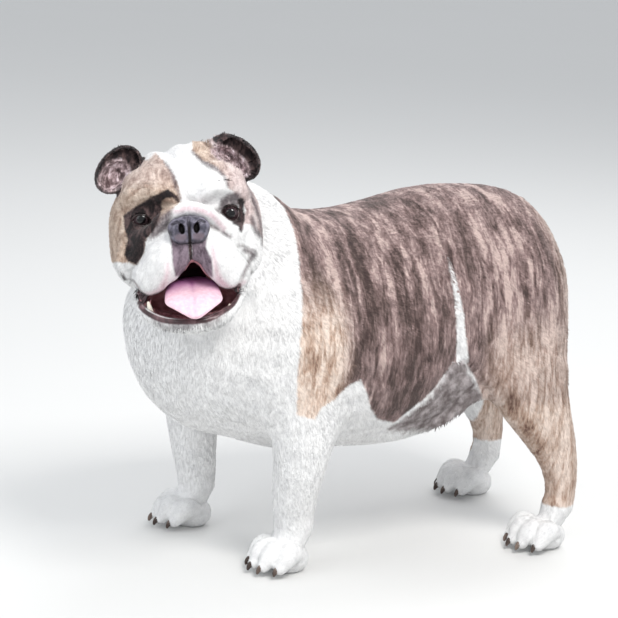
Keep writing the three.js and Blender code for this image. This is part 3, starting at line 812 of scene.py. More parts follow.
@dataclass
class Marks(Part):
    """Where the coat's markings and painted shade lie, as distances in millimetres from their borders,
    positive inside.
    """

    saddle: tuple = (
        (-158, 440), (-161, 393), (-166, 351), (-172, 327), (-184, 273), (-184, 229), (-179, 189),
        (-161, 183), (-154, 196), (-137, 204), (-120, 219), (-107, 224), (-93, 204), (-81, 184), (-65, 169),
        (-40, 162),
        (-25, 178), (-1, 203), (18, 232), (43, 225), (66, 198), (92, 160), (104, 110), (112, 50), (420, 50),
        (420, 440),
    )
    wedge: tuple = ((20, 345), (26, 300), (32, 262), (45, 219), (26, 219), (21, 240), (17, 285), (17, 330))
    # Painted shade on the white of the lower flank, between the belly and the thigh, seen from the side.
    groin: tuple = (
        (-40, 153), (-26, 167), (-12, 179), (1, 196), (11, 213), (19, 231), (31, 231), (40, 220), (54, 203),
        (77, 180), (98, 150), (100, 110), (60, 100), (30, 140), (0, 146), (-20, 148),
    )
    right_patch: Outline = Outline(
        ((-34, 61), (-26, 69), (-19, 59), (-11, 43), (-6, 30), (-5, 14), (-11, 10), (-26, -4), (-36, -14),
         (-43, -21), (-47, -36), (-54, -47), (-63, -44), (-75, -42), (-100, -36), (-100, 66), (-60, 78),
         (-45, 64)),
        46,
    )
    left_patch: Outline = Outline(
        ((12, 67), (20, 56), (33, 48), (42, 37), (45, 24), (52, 17), (58, 12), (61, 2), (57, -14), (64, -12),
         (74, -20), (80, -30), (96, -30), (96, 20), (78, 60), (60, 96), (14, 94)),
        60,
    )
    right_dark: Outline = Outline(
        ((-64, 5), (-53, 12), (-37, 20), (-26, 25), (-17, 28), (-8, 21), (-6, 14), (-14, 12), (-25, 8),
         (-29, -4), (-36, -14), (-43, -21), (-47, -36), (-54, -47), (-64, -42), (-66, -34), (-62, -20),
         (-64, -6)),
    )
    lobes: Outline = Outline(
        ((-20, -20), (-19, -29), (-19, -48), (-17, -62), (-7, -61), (1, -46), (11, -61), (21, -65), (21, -48),
         (16, -35), (18, -22), (0, -18)),
        0,
    )
    philtrum: FaceLine = FaceLine(((0, -24), (0, -38), (0, -50)), 2.6, -20)
    left_lid: Outline = Outline(
        ((53, 13), (59, 15), (61.5, 11), (60, 5), (60, -2), (59, -10), (57, -16), (55, -21), (52.5, -20),
         (52, -15), (46, -12), (46, -7), (54, -4), (54, 6)),
        10,
    )
    cheek_line: FaceLine = FaceLine(((-70, -54), (-66, -63), (-60, -72), (-53, -82), (-50, -90)), 1.7, 20)
    lip_line: FaceLine = FaceLine(
        ((-60, -75), (-53, -91), (-43, -100), (-27, -106.5), (0, -108.5), (14, -107), (28, -101), (40, -94),
         (48, -83)),
        2.9,
        0,
    )
    # Painted shade in the folds and creases of the face, along its edge at the neck and over the left eye.
    smoky_marks: tuple = (
        Outline(((32, 2), (36, 14), (44, 19.5), (51, 21), (57, 18), (55, 7), (46, 5), (40, 3)), 10),
        Outline(
            ((-33, -3), (-21, 5), (-14, 7), (-17, -4), (-21, -14), (-30, -19), (-40, -23), (-38, -12)), 0
        ),
        FaceLine(((65, 33), (70, 16), (74, 0), (78, -14), (79, -34)), 2.4, 70),
        FaceLine(((-17, 56), (-12, 44), (-8, 28), (-6, 16)), 1.6, 30),
        FaceLine(((51, -34), (60, -37), (69, -43), (62, -52), (55, -60), (50, -72), (49, -80)), 1.5, 30),
        FaceLine(((57, -39), (66, -44), (60, -52)), 2.8, 30),
        FaceLine(((20, -11), (31, -17), (42, -25)), 1.8, 0),
        FaceLine(((31, 4), (33, 0)), 2.0, 0),
        FaceLine(((12, 66), (22, 54), (33, 46), (41, 38), (44, 28)), 2.2, 30),
        FaceLine(((68, -6), (71, -18), (75, -25)), 3.0, 60),
    )
    fringe: Outline = Outline(
        ((-46, -99), (-34, -105), (-14, -108), (12, -107), (28, -97), (38, -92), (34, -104), (18, -115),
         (-6, -119), (-30, -116), (-44, -107)),
        16,
    )
    pink_lines: tuple = (
        FaceLine(((-24, -50), (-26, -62), (-33, -74), (-44, -79), (-53, -77)), 2.6, -8),
        FaceLine(((23, -34), (24, -54), (29, -69), (40, -78), (53, -72)), 2.6, -8),
        FaceLine(((-12, 4), (4, 6), (22, -1), (36, -16)), 3.0, -20),
    )
    stripes: tuple = (
        Stripe(
            ((-76, 377), (-89, 353), (-91, 326), (-99, 289), (-113, 254), (-123, 221), (-148, 205)), 10, -1.4
        ),
        Stripe(((-118, 378), (-123, 355), (-130, 328), (-140, 293), (-143, 256)), 9, 1.0),
        Stripe(((-151, 357), (-160, 330), (-172, 304)), 8, -0.8),
        Stripe(((-52, 367), (-60, 343), (-61, 317), (-63, 287), (-71, 256)), 6, 0.8),
        Stripe(((-24, 373), (-32, 352), (-36, 323), (-43, 296)), 5, 0.7),
        Stripe(((-51, 350), (-52, 324), (-46, 296), (-42, 264), (-27, 241), (-38, 200)), 7, -0.8),
        Stripe(((-4, 309), (-5, 272), (-18, 228), (-38, 181)), 8, -0.8),
        Stripe(((-15, 256), (-27, 221), (-65, 203)), 6, 0.6),
        Stripe(((23, 398), (0, 373), (-5, 346)), 6, -0.8),
        Stripe(((71, 384), (67, 355), (66, 330), (63, 287)), 7, 0.8),
        Stripe(((116, 346), (115, 320), (114, 285), (108, 263)), 8, -0.9),
        Stripe(((154, 360), (150, 331), (148, 293)), 9, 0.8),
        Stripe(((100, 262), (91, 201), (105, 171), (131, 135), (147, 104)), 11, -1.0),
        Stripe(((66, 242), (83, 201)), 8, -0.8),
        Stripe(((150, 112), (161, 79), (162, 46)), 8, -0.9),
        Stripe(((169, 167), (174, 127), (179, 82)), 7, 0.7),
        Stripe(((154, 242), (157, 197)), 6, -0.6),
        # The last two are broad faint bands: lighter over the hip, darker over the middle of the flank.
        Stripe(((105, 395), (112, 320), (128, 225)), 48, 0.35),
        Stripe(((-40, 330), (-42, 250), (-30, 160)), 46, -0.4),
    )
    far_side_shift: float = 9.0
    reach: float = 40.0
    hip: tuple = (84.0, 122.0, 274.0)
    hip_drop: float = 178.0
    leg_margin: dict = field(default_factory=lambda: {Side.LEFT: 13, Side.RIGHT: -6})
    groin_margin: float = 5.0
    groin_top: float = 232.0
    face_marks: tuple = ("tan", "dark", "mauve", "pink", "mouth", "grey", "smoky", "cup")

    def in_flat(self, points: Rows) -> tuple[Rows, Rows]:
        """Which points lie on the left, and their places seen from the side, as the left side shows them."""
        left = points[:, 0] > self.stance.spine(points[:, 1])
        return left, points[:, 1:] - np.outer(np.where(left, 0.0, self.far_side_shift), [1.0, 0.0])

    def on_body(self, points: Rows) -> Rows:
        """The distance from the border of the brindle saddle, positive inside.

        Args:
            points: one row each, in the dog's frame.

        Returns:
            The distances.
        """
        left, flat = self.in_flat(points)
        depth = outline_distance(self.saddle, flat)
        depth = np.where(left, np.minimum(depth, -outline_distance(self.wedge, flat)), depth)
        half, along, top = self.hip
        for side, own in ((Side.LEFT, left), (Side.RIGHT, ~left)):
            foot = self.stance.foot(Kind.HIND, side)[0]
            hip = self.stance.spine(along) + side.value * half
            share = np.clip((top - points[:, 2]) / self.hip_drop, 0, 1)
            outer = side.value * (points[:, 0] - hip - share * (foot - hip)) + self.leg_margin[side]
            outer += 120 * smooth_step(178, 236, points[:, 2])
            depth = np.where(own & (points[:, 1] > 50), np.minimum(depth, outer), depth)
        _, y, z = points.T
        inner = np.minimum.reduce([z - 68, y - 204, 200 - z])
        return np.where(~left & (y > 190), np.maximum(depth, inner), depth)

    def striping(self, points: Rows) -> Rows:
        """How light or dark the single stripes make each point, from -1 to 1."""
        _, flat = self.in_flat(points)
        return np.clip(np.sum([stripe.share(flat) for stripe in self.stripes], axis=0), -1, 1)

    def warmth(self, points: Rows) -> Rows:
        """How tan the brindle coat is: low on the shoulder and on the hind legs."""
        _, y, z = points.T
        shoulder = smooth_step(350, 262, z) * smooth_step(-112, -146, y)
        thigh = 0.45 * smooth_step(300, 220, z) * smooth_step(50, 90, y)
        leg = 0.75 * smooth_step(210, 160, z) * smooth_step(60, 100, y)
        rump = 0.5 * smooth_step(150, 200, y)
        return np.clip(np.maximum.reduce([shoulder, thigh, leg, rump]) + 0.08, 0, 1)

    def at(self, points: Rows) -> dict[str, Rows]:
        """Every marking's value at each point.

        Args:
            points: one row each, in the dog's frame.

        Returns:
            The values by the name of the attribute that holds them.
        """
        marks = {name: np.full(len(points), -self.reach) for name in self.face_marks}
        marks["warm"] = self.warmth(points)
        marks["stripe"] = self.striping(points)
        on_head = self.head.holds(points)
        chosen = np.flatnonzero(on_head)
        for name, values in self.on_head(self.head.inward(points)[chosen]).items():
            marks[name][chosen] = values
        marks["brindle"] = np.where(on_head, -self.reach, self.on_body(points))
        # Painted shade on the lower flank between the belly and the thigh, cut off above a height.
        above = 110 * (points[:, 2] > self.groin_top)
        marks["groin"] = outline_distance(self.groin, points[:, 1:]) + self.groin_margin - above
        return {name: np.clip(values, -self.reach, self.reach) for name, values in marks.items()}

    def on_head(self, local: Rows) -> dict[str, Rows]:
        """The markings of the face and the ears, with painted shade in the face's folds and far in the mouth,
        in the head's frame.
        """
        x, y, z = local.T
        pale_spot = Egg((-17, -20, 13), (8, 30, 6.5))
        dark = np.minimum(self.right_dark.depth(local), pale_spot.distance(local))
        for mark in (self.cheek_line, self.left_lid):
            dark = np.maximum(dark, mark.depth(local))
        for side in Side:
            rim = outline_distance(self.form.lid_line(side), local[:, [0, 2]])
            dark = np.maximum(dark, np.minimum(0.8 + rim, 4.0 - y))
        philtrum = self.philtrum.depth(local)
        smoky = np.maximum.reduce([mark.depth(local) for mark in self.smoky_marks])
        flew = np.where(z < -20, np.minimum(-30 - x, 3.0), -self.reach)
        marks = {
            "tan": np.maximum(self.right_patch.depth(local), self.left_patch.depth(local)),
            "dark": np.maximum(dark, philtrum),
            "mauve": np.minimum(self.lobes.depth(local), 2.0 - 2.6 * philtrum),
            "pink": np.maximum.reduce([line.depth(local) for line in self.pink_lines]),
            "mouth": self.in_mouth(local),
            # Painted shade in the face's folds, with a faint tint of the chin fringe's own hair.
            "smoky": np.maximum(smoky, np.minimum(self.fringe.depth(local) - 1.0, 0.3)),
            "grey": np.maximum(np.minimum(-108 - z, 9.0), flew),
            "warm": smooth_step(20, 55, x) * 0.8 + 0.35 * smooth_step(22, 44, z) * (x < 0),
            "cup": np.full(len(local), -self.reach),
        }
        for side in Side:
            self.mark_ear(Ear(side), local, marks)
        return marks

    def in_mouth(self, local: Rows) -> Rows:
        """How far inside the mouth each point of the head's frame lies, or on the dark lower lip."""
        x, y, z = local.T
        mouth = 1.6 - self.form.mouth.distance(local)
        # Painted shade: further back in the middle of the mouth the value grows into the throat's near-black.
        throat_shade = np.clip(y + 46, 0, 36) * smooth_step(24, 12, np.abs(x)) * smooth_step(-80, -68, z)
        within = 8 * smooth_step(5, 10, y + 54 - 0.0098 * x**2 - 20 * smooth_step(-92, -80, z))
        mouth = np.where(mouth > 0, mouth + within + throat_shade, mouth)
        return np.maximum(mouth, self.lip_line.depth(local))

    def mark_ear(self, ear: Ear, local: Rows, marks: dict[str, Rows]) -> None:
        """Sets the markings of one ear: its tan back, its dark flap and rim, and its mottled hollow.

        Args:
            ear: the ear.
            local: points of the head's frame, one row each.
            marks: the values by name, which are changed near the ear.
        """
        near = ear.shell(local) < 4.0
        cup = ear.cup(local)
        along, across, over = ear.inward(local).T
        flap = np.minimum(cup - 1.2, 7 - across)
        if ear.side is Side.LEFT:
            flap = np.minimum(flap, over + 11 + 0.35 * along)
        else:
            edge = 30 * (np.hypot(along / 29.5, over / 20.5) - 0.9)
            flap = np.minimum(flap, np.maximum.reduce([over - 5 - 0.2 * along, -4 - along, edge]))
        spots = np.minimum(1.4 * Wave(11, 9).at(local) - 1.6, over + 14)
        dark = np.maximum(flap, spots)
        own = {"dark": dark, "cup": 2.4 - cup, "tan": 4.0, "warm": 0.9, "smoky": -self.reach}
        for name, values in own.items():
            marks[name] = np.where(near, values, marks[name])

    def store(self, mesh: Mesh, points: Rows) -> None:
        """Stores every marking on a mesh's vertices."""
        for name, values in self.at(points).items():
            set_value(mesh, name, values)


@dataclass
class Lie(Part):
    """The direction in which the hair lies."""

    def ahead(self, points: Rows, normals: Rows) -> Rows:
        """The hair's direction along the skin at each point.

        Args:
            points: one row each, in the dog's frame.
            normals: the skin's normals there.

        Returns:
            Unit vectors along the skin.
        """
        x, y, z = points.T
        side = np.clip(np.abs(x - self.stance.spine(y)) / 130, 0, 1)
        flow = np.stack([np.zeros_like(x), np.ones_like(x), -0.15 - 0.75 * side], axis=1)
        front = smooth_step(-150, -215, y)[:, None]
        flow += front * (np.array([0.0, 0.3, -1.3]) - flow) * 0.8
        low = smooth_step(225, 165, z)[:, None]
        flow += low * (np.array([0.0, 0.25, -1.0]) - flow)
        for kind, leg in itertools.product(Kind, Side):
            foot = self.stance.foot(kind, leg)
            gap = np.hypot(x - foot[0], y - foot[1] - self.stance.paw_middle)
            near = smooth_step(62, 50, gap) * smooth_step(52, 36, z)
            flow += near[:, None] * (np.array([0.0, -0.9, -0.35]) - flow)
        local = self.head.inward(points)
        away = unit_rows(local - np.array([0.0, -62.0, -14.0]))
        away[:, 1] += 0.35
        away[:, 2] -= 0.9 * smooth_step(0, -60, local[:, 2])
        share = smooth_step(104, 70, local[:, 1])[:, None] * (z > 230)[:, None]
        flow += share * (away @ self.head.matrix.T - flow)
        flow -= normals * (flow * normals).sum(1)[:, None]
        return unit_rows(flow)


@dataclass
class Wave:
    """A soft random field made of sines."""

    seed: int
    size: float
    waves: int = 6

    def at(self, points: Rows) -> Rows:
        """The field's value at each point, mostly between -1 and 1."""
        rng = np.random.default_rng(self.seed)
        total = np.zeros(len(points))
        for _ in range(self.waves):
            way = rng.normal(size=3)
            way *= 2 * math.pi / (self.size * rng.uniform(0.7, 1.4) * np.linalg.norm(way))
            total += np.sin(points @ way + rng.uniform(0, 2 * math.pi))
        return total / math.sqrt(self.waves)


@dataclass(frozen=True)
class Patch:
    """One region's part of the coat: its slot, how many tufts it has, and their size.

    The lift is how far the tips of the tufts stand off for their length.
    """

    region: Region
    slot: str
    count: int
    length: float
    width: float
    lift: float


@dataclass
class Coat(Part):
    """The short tufts over the skin, one piece for each region."""

    marks: Marks
    lie: Lie
    seed: int = 7
    patch_size: float = 0.003
    root_depth: float = 0.45
    corners: int = 7
    faces: tuple = (
        (0, 1, 2), (0, 4, 1), (0, 3, 4), (1, 5, 2), (1, 4, 5), (2, 3, 0), (2, 5, 3), (3, 6, 4), (4, 6, 5),
        (5, 6, 3),
    )

    def in_ears(self, points: Rows) -> Rows:
        """Whether each point belongs to an ear."""
        local = self.head.inward(points)
        return np.minimum(*[Ear(side).shell(local) for side in Side]) < 2.5

    def region(self, points: Rows) -> Rows:
        """The region that each point belongs to."""
        x, y, z = points.T
        code = np.where(x > self.stance.spine(y), Region.FLANK_LEFT, Region.FLANK_RIGHT)
        code = np.where((y < -128) & (z > 190) & (y < -160 + 0.5 * (z - 190)), Region.NECK, code)
        code = np.where((z < 172) & (y < -90), Region.FORELEGS, code)
        code = np.where((z < 188) & (y > 70), Region.HINDLEGS, code)
        code = np.where((y > 205) & (z > 215) & (np.abs(x - self.stance.spine(200)) < 24), Region.TAIL, code)
        head = self.head.holds(points)
        code = np.where(head, Region.HEAD, code)
        return np.where(head & self.in_ears(points), Region.EARS, code)

    def unwrapped(self, region: Region, points: Rows) -> Rows:
        """The places of points on the unwrap of one region's skin.

        Args:
            region: the region.
            points: one row each, in the dog's frame.

        Returns:
            Rows of u and v between 0 and 1.
        """
        x, y, z = points.T
        turn = 2 * math.pi
        left = x > self.stance.spine(y)
        if region is Region.HEAD:
            across, back, up = (self.head.inward(points) - np.array([0, 22, -12])).T
            u = np.arctan2(across, -back) / turn + 0.5
            v = np.arctan2(up, np.hypot(across, back)) / math.pi + 0.5
        elif region is Region.EARS:
            local = self.head.inward(points)
            left = local[:, 0] > 0
            own = np.where(left[:, None], *[Ear(side).inward(local) for side in Side])
            u = 0.25 + own[:, 0] / 150 + 0.5 * (own[:, 1] > 4)
            v = 0.25 + own[:, 2] / 110 + 0.5 * left
        elif region is Region.NECK:
            axis = np.array([0.35, -0.62, 0.7])
            axis /= np.linalg.norm(axis)
            across = np.cross(axis, UP)
            across /= np.linalg.norm(across)
            rest = points - np.array([0, -190, 300])
            u = np.arctan2(rest @ across, rest @ np.cross(across, axis)) / turn + 0.5
            v = (rest @ axis + 190) / 380
        elif region in (Region.FORELEGS, Region.HINDLEGS):
            kind = Kind.FORE if region is Region.FORELEGS else Kind.HIND
            foot = np.where(left[:, None], *[np.array(self.stance.foot(kind, side), float) for side in Side])
            around = np.arctan2(x - foot[:, 0], y - foot[:, 1] + self.stance.paw_middle)
            u = 0.25 + 0.48 * around / turn + 0.5 * left
            v = z / 240
        elif region is Region.TAIL:
            u = np.arctan2(x - self.stance.spine(200), y - 214) / turn + 0.5
            v = (z - 215) / 160
        else:
            u = (y + 265) / 500
            v = np.abs(np.arctan2(x - self.stance.spine(y), z - 255)) / math.pi
        return np.clip(np.stack([u, v], axis=1), 0.004, 0.996)

    def sown(self, skin: Object) -> tuple[Rows, Rows]:
        """Places roots evenly over the skin.

        Args:
            skin: the finished skin.

        Returns:
            The roots, and the skin's normals there, one row each.
        """
        rng = np.random.default_rng(self.seed)
        points = self.stance.millimetres(points_of(skin.data))
        normals = normals_of(skin.data)
        corners = triangles_of(skin.data)
        a, b, c = (points[corners[:, i]] for i in range(3))
        area = 0.5 * np.linalg.norm(np.cross(b - a, c - a), axis=1)
        middle = (a + b + c) / 3
        code = self.region(middle)
        roots, slopes = [], []
        for patch in self.patches():
            own = np.flatnonzero(code == patch.region)
            reached = np.cumsum(area[own] * self.wanted(patch.region, middle[own]))
            steps = (np.arange(patch.count) + rng.uniform(0, 1, patch.count)) / patch.count * reached[-1]
            picked = own[np.searchsorted(reached, steps).clip(0, len(own) - 1)]
            share = rng.uniform(0, 1, (patch.count, 2))
            flip = share.sum(1) > 1
            share[flip] = 1 - share[flip]
            part = np.column_stack([1 - share.sum(1), share])[:, :, None]
            roots.append((points[corners[picked]] * part).sum(1))
            slopes.append((normals[corners[picked]] * part).sum(1))
        return np.vstack(roots), unit_rows(np.vstack(slopes))

    def wanted(self, region: Region, points: Rows) -> Rows:
        """How densely each place of a region is covered, where 0 is bare."""
        density = np.where(points[:, 2] < 1.5, 0.0, 1.0)
        if region not in (Region.HEAD, Region.EARS):
            return density
        marks = self.marks.at(points)
        local = self.head.inward(points)
        bare = (marks["mouth"] > -0.5) | (marks["mauve"] > 1.0)
        nose = Egg((0, -46, -15), (23, 18, 15)).distance(local) < 1.0
        eyes = np.minimum(*[np.linalg.norm(local - self.form.eye(side), axis=1) for side in Side]) < 15.0
        openings = [outline_distance(self.form.lid_line(side), local[:, [0, 2]]) for side in Side]
        open_eyes = np.max(openings, axis=0) > -1.6
        cup = np.minimum(*[Ear(side).cup(local) for side in Side]) < 1.5
        density = np.where(bare | nose | (eyes & open_eyes), 0.0, density)
        return np.where(cup, 0.35 * density, density)

    def patches(self) -> list[Patch]:
        """The regions' parts of the coat, in the order of the regions."""
        return [
            Patch(Region.HEAD, "white_coat", 19800, 5.4, 0.85, 0.1),
            Patch(Region.EARS, "ear_skin", 2600, 3.2, 0.75, 0.06),
            Patch(Region.NECK, "white_coat", 18500, 8.2, 0.95, 0.06),
            Patch(Region.FLANK_LEFT, "brindle_coat", 19900, 9.0, 0.95, 0.06),
            Patch(Region.FLANK_RIGHT, "brindle_coat", 19900, 9.0, 0.95, 0.06),
            Patch(Region.FORELEGS, "white_coat", 14500, 6.5, 0.85, 0.07),
            Patch(Region.HINDLEGS, "brindle_coat", 15000, 7.0, 0.9, 0.07),
            Patch(Region.TAIL, "brindle_coat", 1500, 9.0, 1.2, 0.12),
        ]

    def made(self, skin: Object) -> list[Object]:
        """Covers the skin with tufts.

        Args:
            skin: the finished skin.

        Returns:
            One piece for each region.
        """
        roots, normals = self.sown(skin)
        ends = np.cumsum([patch.count for patch in self.patches()])[:-1]
        parts = zip(self.patches(), np.split(roots, ends), np.split(normals, ends))
        return [self.piece(*part) for part in parts]

    def piece(self, patch: Patch, roots: Rows, normals: Rows) -> Object:
        """Makes one region's tufts as one mesh.

        Args:
            patch: the region's part of the coat.
            roots: where its tufts are rooted.
            normals: the skin's normals there.

        Returns:
            The finished piece.
        """
        rng = np.random.default_rng(self.seed + 100 + patch.region)
        count = len(roots)
        ahead = self.lie.ahead(roots, normals)
        side = np.cross(normals, ahead)
        yaw = 0.2 * Wave(self.seed, 46).at(roots) + rng.normal(0, 0.13, count)
        ahead = ahead * np.cos(yaw)[:, None] + side * np.sin(yaw)[:, None]
        side = np.cross(normals, ahead)
        length, width = self.sizes(patch, roots)
        length *= rng.uniform(0.75, 1.2, count)
        width *= rng.uniform(0.75, 1.2, count)
        ruffle = np.clip(Wave(self.seed + 3, 30).at(roots) - 0.9, 0, 1)
        lift = patch.lift * rng.uniform(0.5, 1.3, count) * (1 + 1.2 * ruffle)
        bend = rng.normal(0, 0.06, count)
        reach, rise = length[:, None] * ahead, (length * lift)[:, None] * normals
        half, thick = (width / 2)[:, None] * side, (0.5 * width)[:, None] * normals
        base = roots - self.root_depth * normals
        middle = roots + 0.52 * reach + 0.62 * rise
        tip = roots + reach + rise + (bend * length)[:, None] * side
        bottom = [base + half, base - half, base + thick]
        waist = [middle + 0.85 * half, middle - 0.85 * half, middle + 0.7 * thick]
        places = np.stack([*bottom, *waist, tip], axis=1)
        places[:, :, 2] = np.maximum(places[:, :, 2], 0.05)
        mesh = self.mesh_of(patch.region.piece, places)
        self.shade(mesh, normals, ahead, side)
        tone = np.clip(rng.normal(0, 0.5, count), -1, 1)
        starts, ends = self.marks.at(roots + 0.2 * reach), self.marks.at(roots + 0.8 * reach)
        share = np.array([0, 0, 0, 0.5, 0.5, 0.5, 1.0])
        for name, values in starts.items():
            mixed = values[:, None] * (1 - share) + ends[name][:, None] * share
            set_value(mesh, name, mixed.ravel())
        set_value(mesh, "tone", np.repeat(tone, self.corners))
        self.map_patches(mesh, self.unwrapped(patch.region, roots))
        return new_object(patch.region.piece, mesh)

    def sizes(self, patch: Patch, roots: Rows) -> tuple[Rows, Rows]:
        """The length and width of each tuft before its random share."""
        length = np.full(len(roots), patch.length)
        width = np.full(len(roots), patch.width)
        if patch.region is Region.HEAD:
            local = self.head.inward(roots)
            muzzle = smooth_step(0, -30, local[:, 1])
            chin = smooth_step(-100, -110, local[:, 2])
            nape = smooth_step(20, 60, local[:, 1])
            share = (1 - 0.38 * muzzle * (1 - chin)) * (1 + 0.5 * nape) * (1 + 0.2 * chin)
            length, width = length * share, width * (0.5 + 0.5 * share)
        if patch.region in (Region.FORELEGS, Region.HINDLEGS):
            paw = smooth_step(60, 35, roots[:, 2])
            length, width = length * (1 - 0.4 * paw), width * (1 - 0.25 * paw)
        return length, width

    def mesh_of(self, name: str, places: Rows) -> Mesh:
        """A mesh of many closed tufts, each with three corners at its root, three halfway and a tip."""
        count = len(places)
        faces = np.array(self.faces)
        mesh = bpy.data.meshes.new(name)
        mesh.vertices.add(count * self.corners)
        mesh.loops.add(count * faces.size)
        mesh.polygons.add(count * len(faces))
        mesh.vertices.foreach_set("co", self.stance.metres(places.reshape(-1, 3)).astype(np.float32).ravel())
        index = faces.ravel()[None] + self.corners * np.arange(count)[:, None]
        mesh.loops.foreach_set("vertex_index", index.ravel().astype(np.int32))
        mesh.polygons.foreach_set("loop_start", np.arange(0, count * faces.size, 3, dtype=np.int32))
        mesh.update(calc_edges=True)
        mesh.shade_smooth()
        return mesh

    def shade(self, mesh: Mesh, normals: Rows, ahead: Rows, side: Rows) -> None:
        """Gives the tufts normals that stay close to the skin's, so that they shade as one coat."""
        lean = np.array([0.32, -0.32, 0.0, 0.32, -0.32, 0.0, 0.0])
        forward = np.array([0, 0, 0, 0, 0, 0, 0.25])
        mixed = normals[:, None] + side[:, None] * lean[:, None] + ahead[:, None] * forward[:, None]
        mixed /= np.linalg.norm(mixed, axis=2)[:, :, None]
        mesh.normals_split_custom_set_from_vertices(mixed.reshape(-1, 3).astype(np.float32))

    def map_patches(self, mesh: Mesh, spots: Rows) -> None:
        """Gives each tuft a small patch at its root's place on the unwrapped skin."""
        layer = mesh.uv_layers.new(name="OFBake")
        shape = np.array([(-1, -1), (1, -1), (0, -0.6), (-0.8, 0.2), (0.8, 0.2), (0, 0.3), (0, 1)])
        each = spots[:, None] + shape * (self.patch_size / 2)
        layer.uv.foreach_set("vector", each[:, np.ravel(self.faces)].astype(np.float32).ravel())


@dataclass
class PawForm:
    """A paw about its own middle, with its toes to -Y."""

    half_width: float = 29.0
    toe_radius: float = 12.6
    softness: float = 1.2
    toes: tuple = ((-0.74, 17, -13), (-0.25, 27, -4), (0.25, 27, 4), (0.74, 17, 13))

    def distance(self, points: Rows) -> Rows:
        """The distance from each point to the paw's skin, negative inside."""
        forms = [Egg((0, 4, 14), (self.half_width - 5, 24, 19))]
        for across, ahead, fan in self.toes:
            x = across * self.half_width
            tip = x + 14 * math.sin(math.radians(fan))
            stops = [(0.85 * x, 6, 21), (x, 6 - ahead, 25), (tip, -ahead - 8, 12)]
            forms.append(Cord(stops, self.toe_radius))
        return blended(forms, self.softness, points)


@dataclass
class Stroke:
    """A ridge, or a crease where its height is negative, pressed into the skin along a line."""

    stops: list
    width: float
    height: float
    sharp: float = 1.0

    def lift(self, points: Rows) -> Rows:
        """How far the stroke raises each point."""
        gap, share = Cord(self.stops, self.width, reach=self.width).walked(points)
        fade = np.sin(np.pi * np.clip(0.06 + 0.88 * share, 0, 1)) ** 0.6
        return self.height * fade * np.clip(1 - gap / self.width, 0, 1) ** (2 * self.sharp)


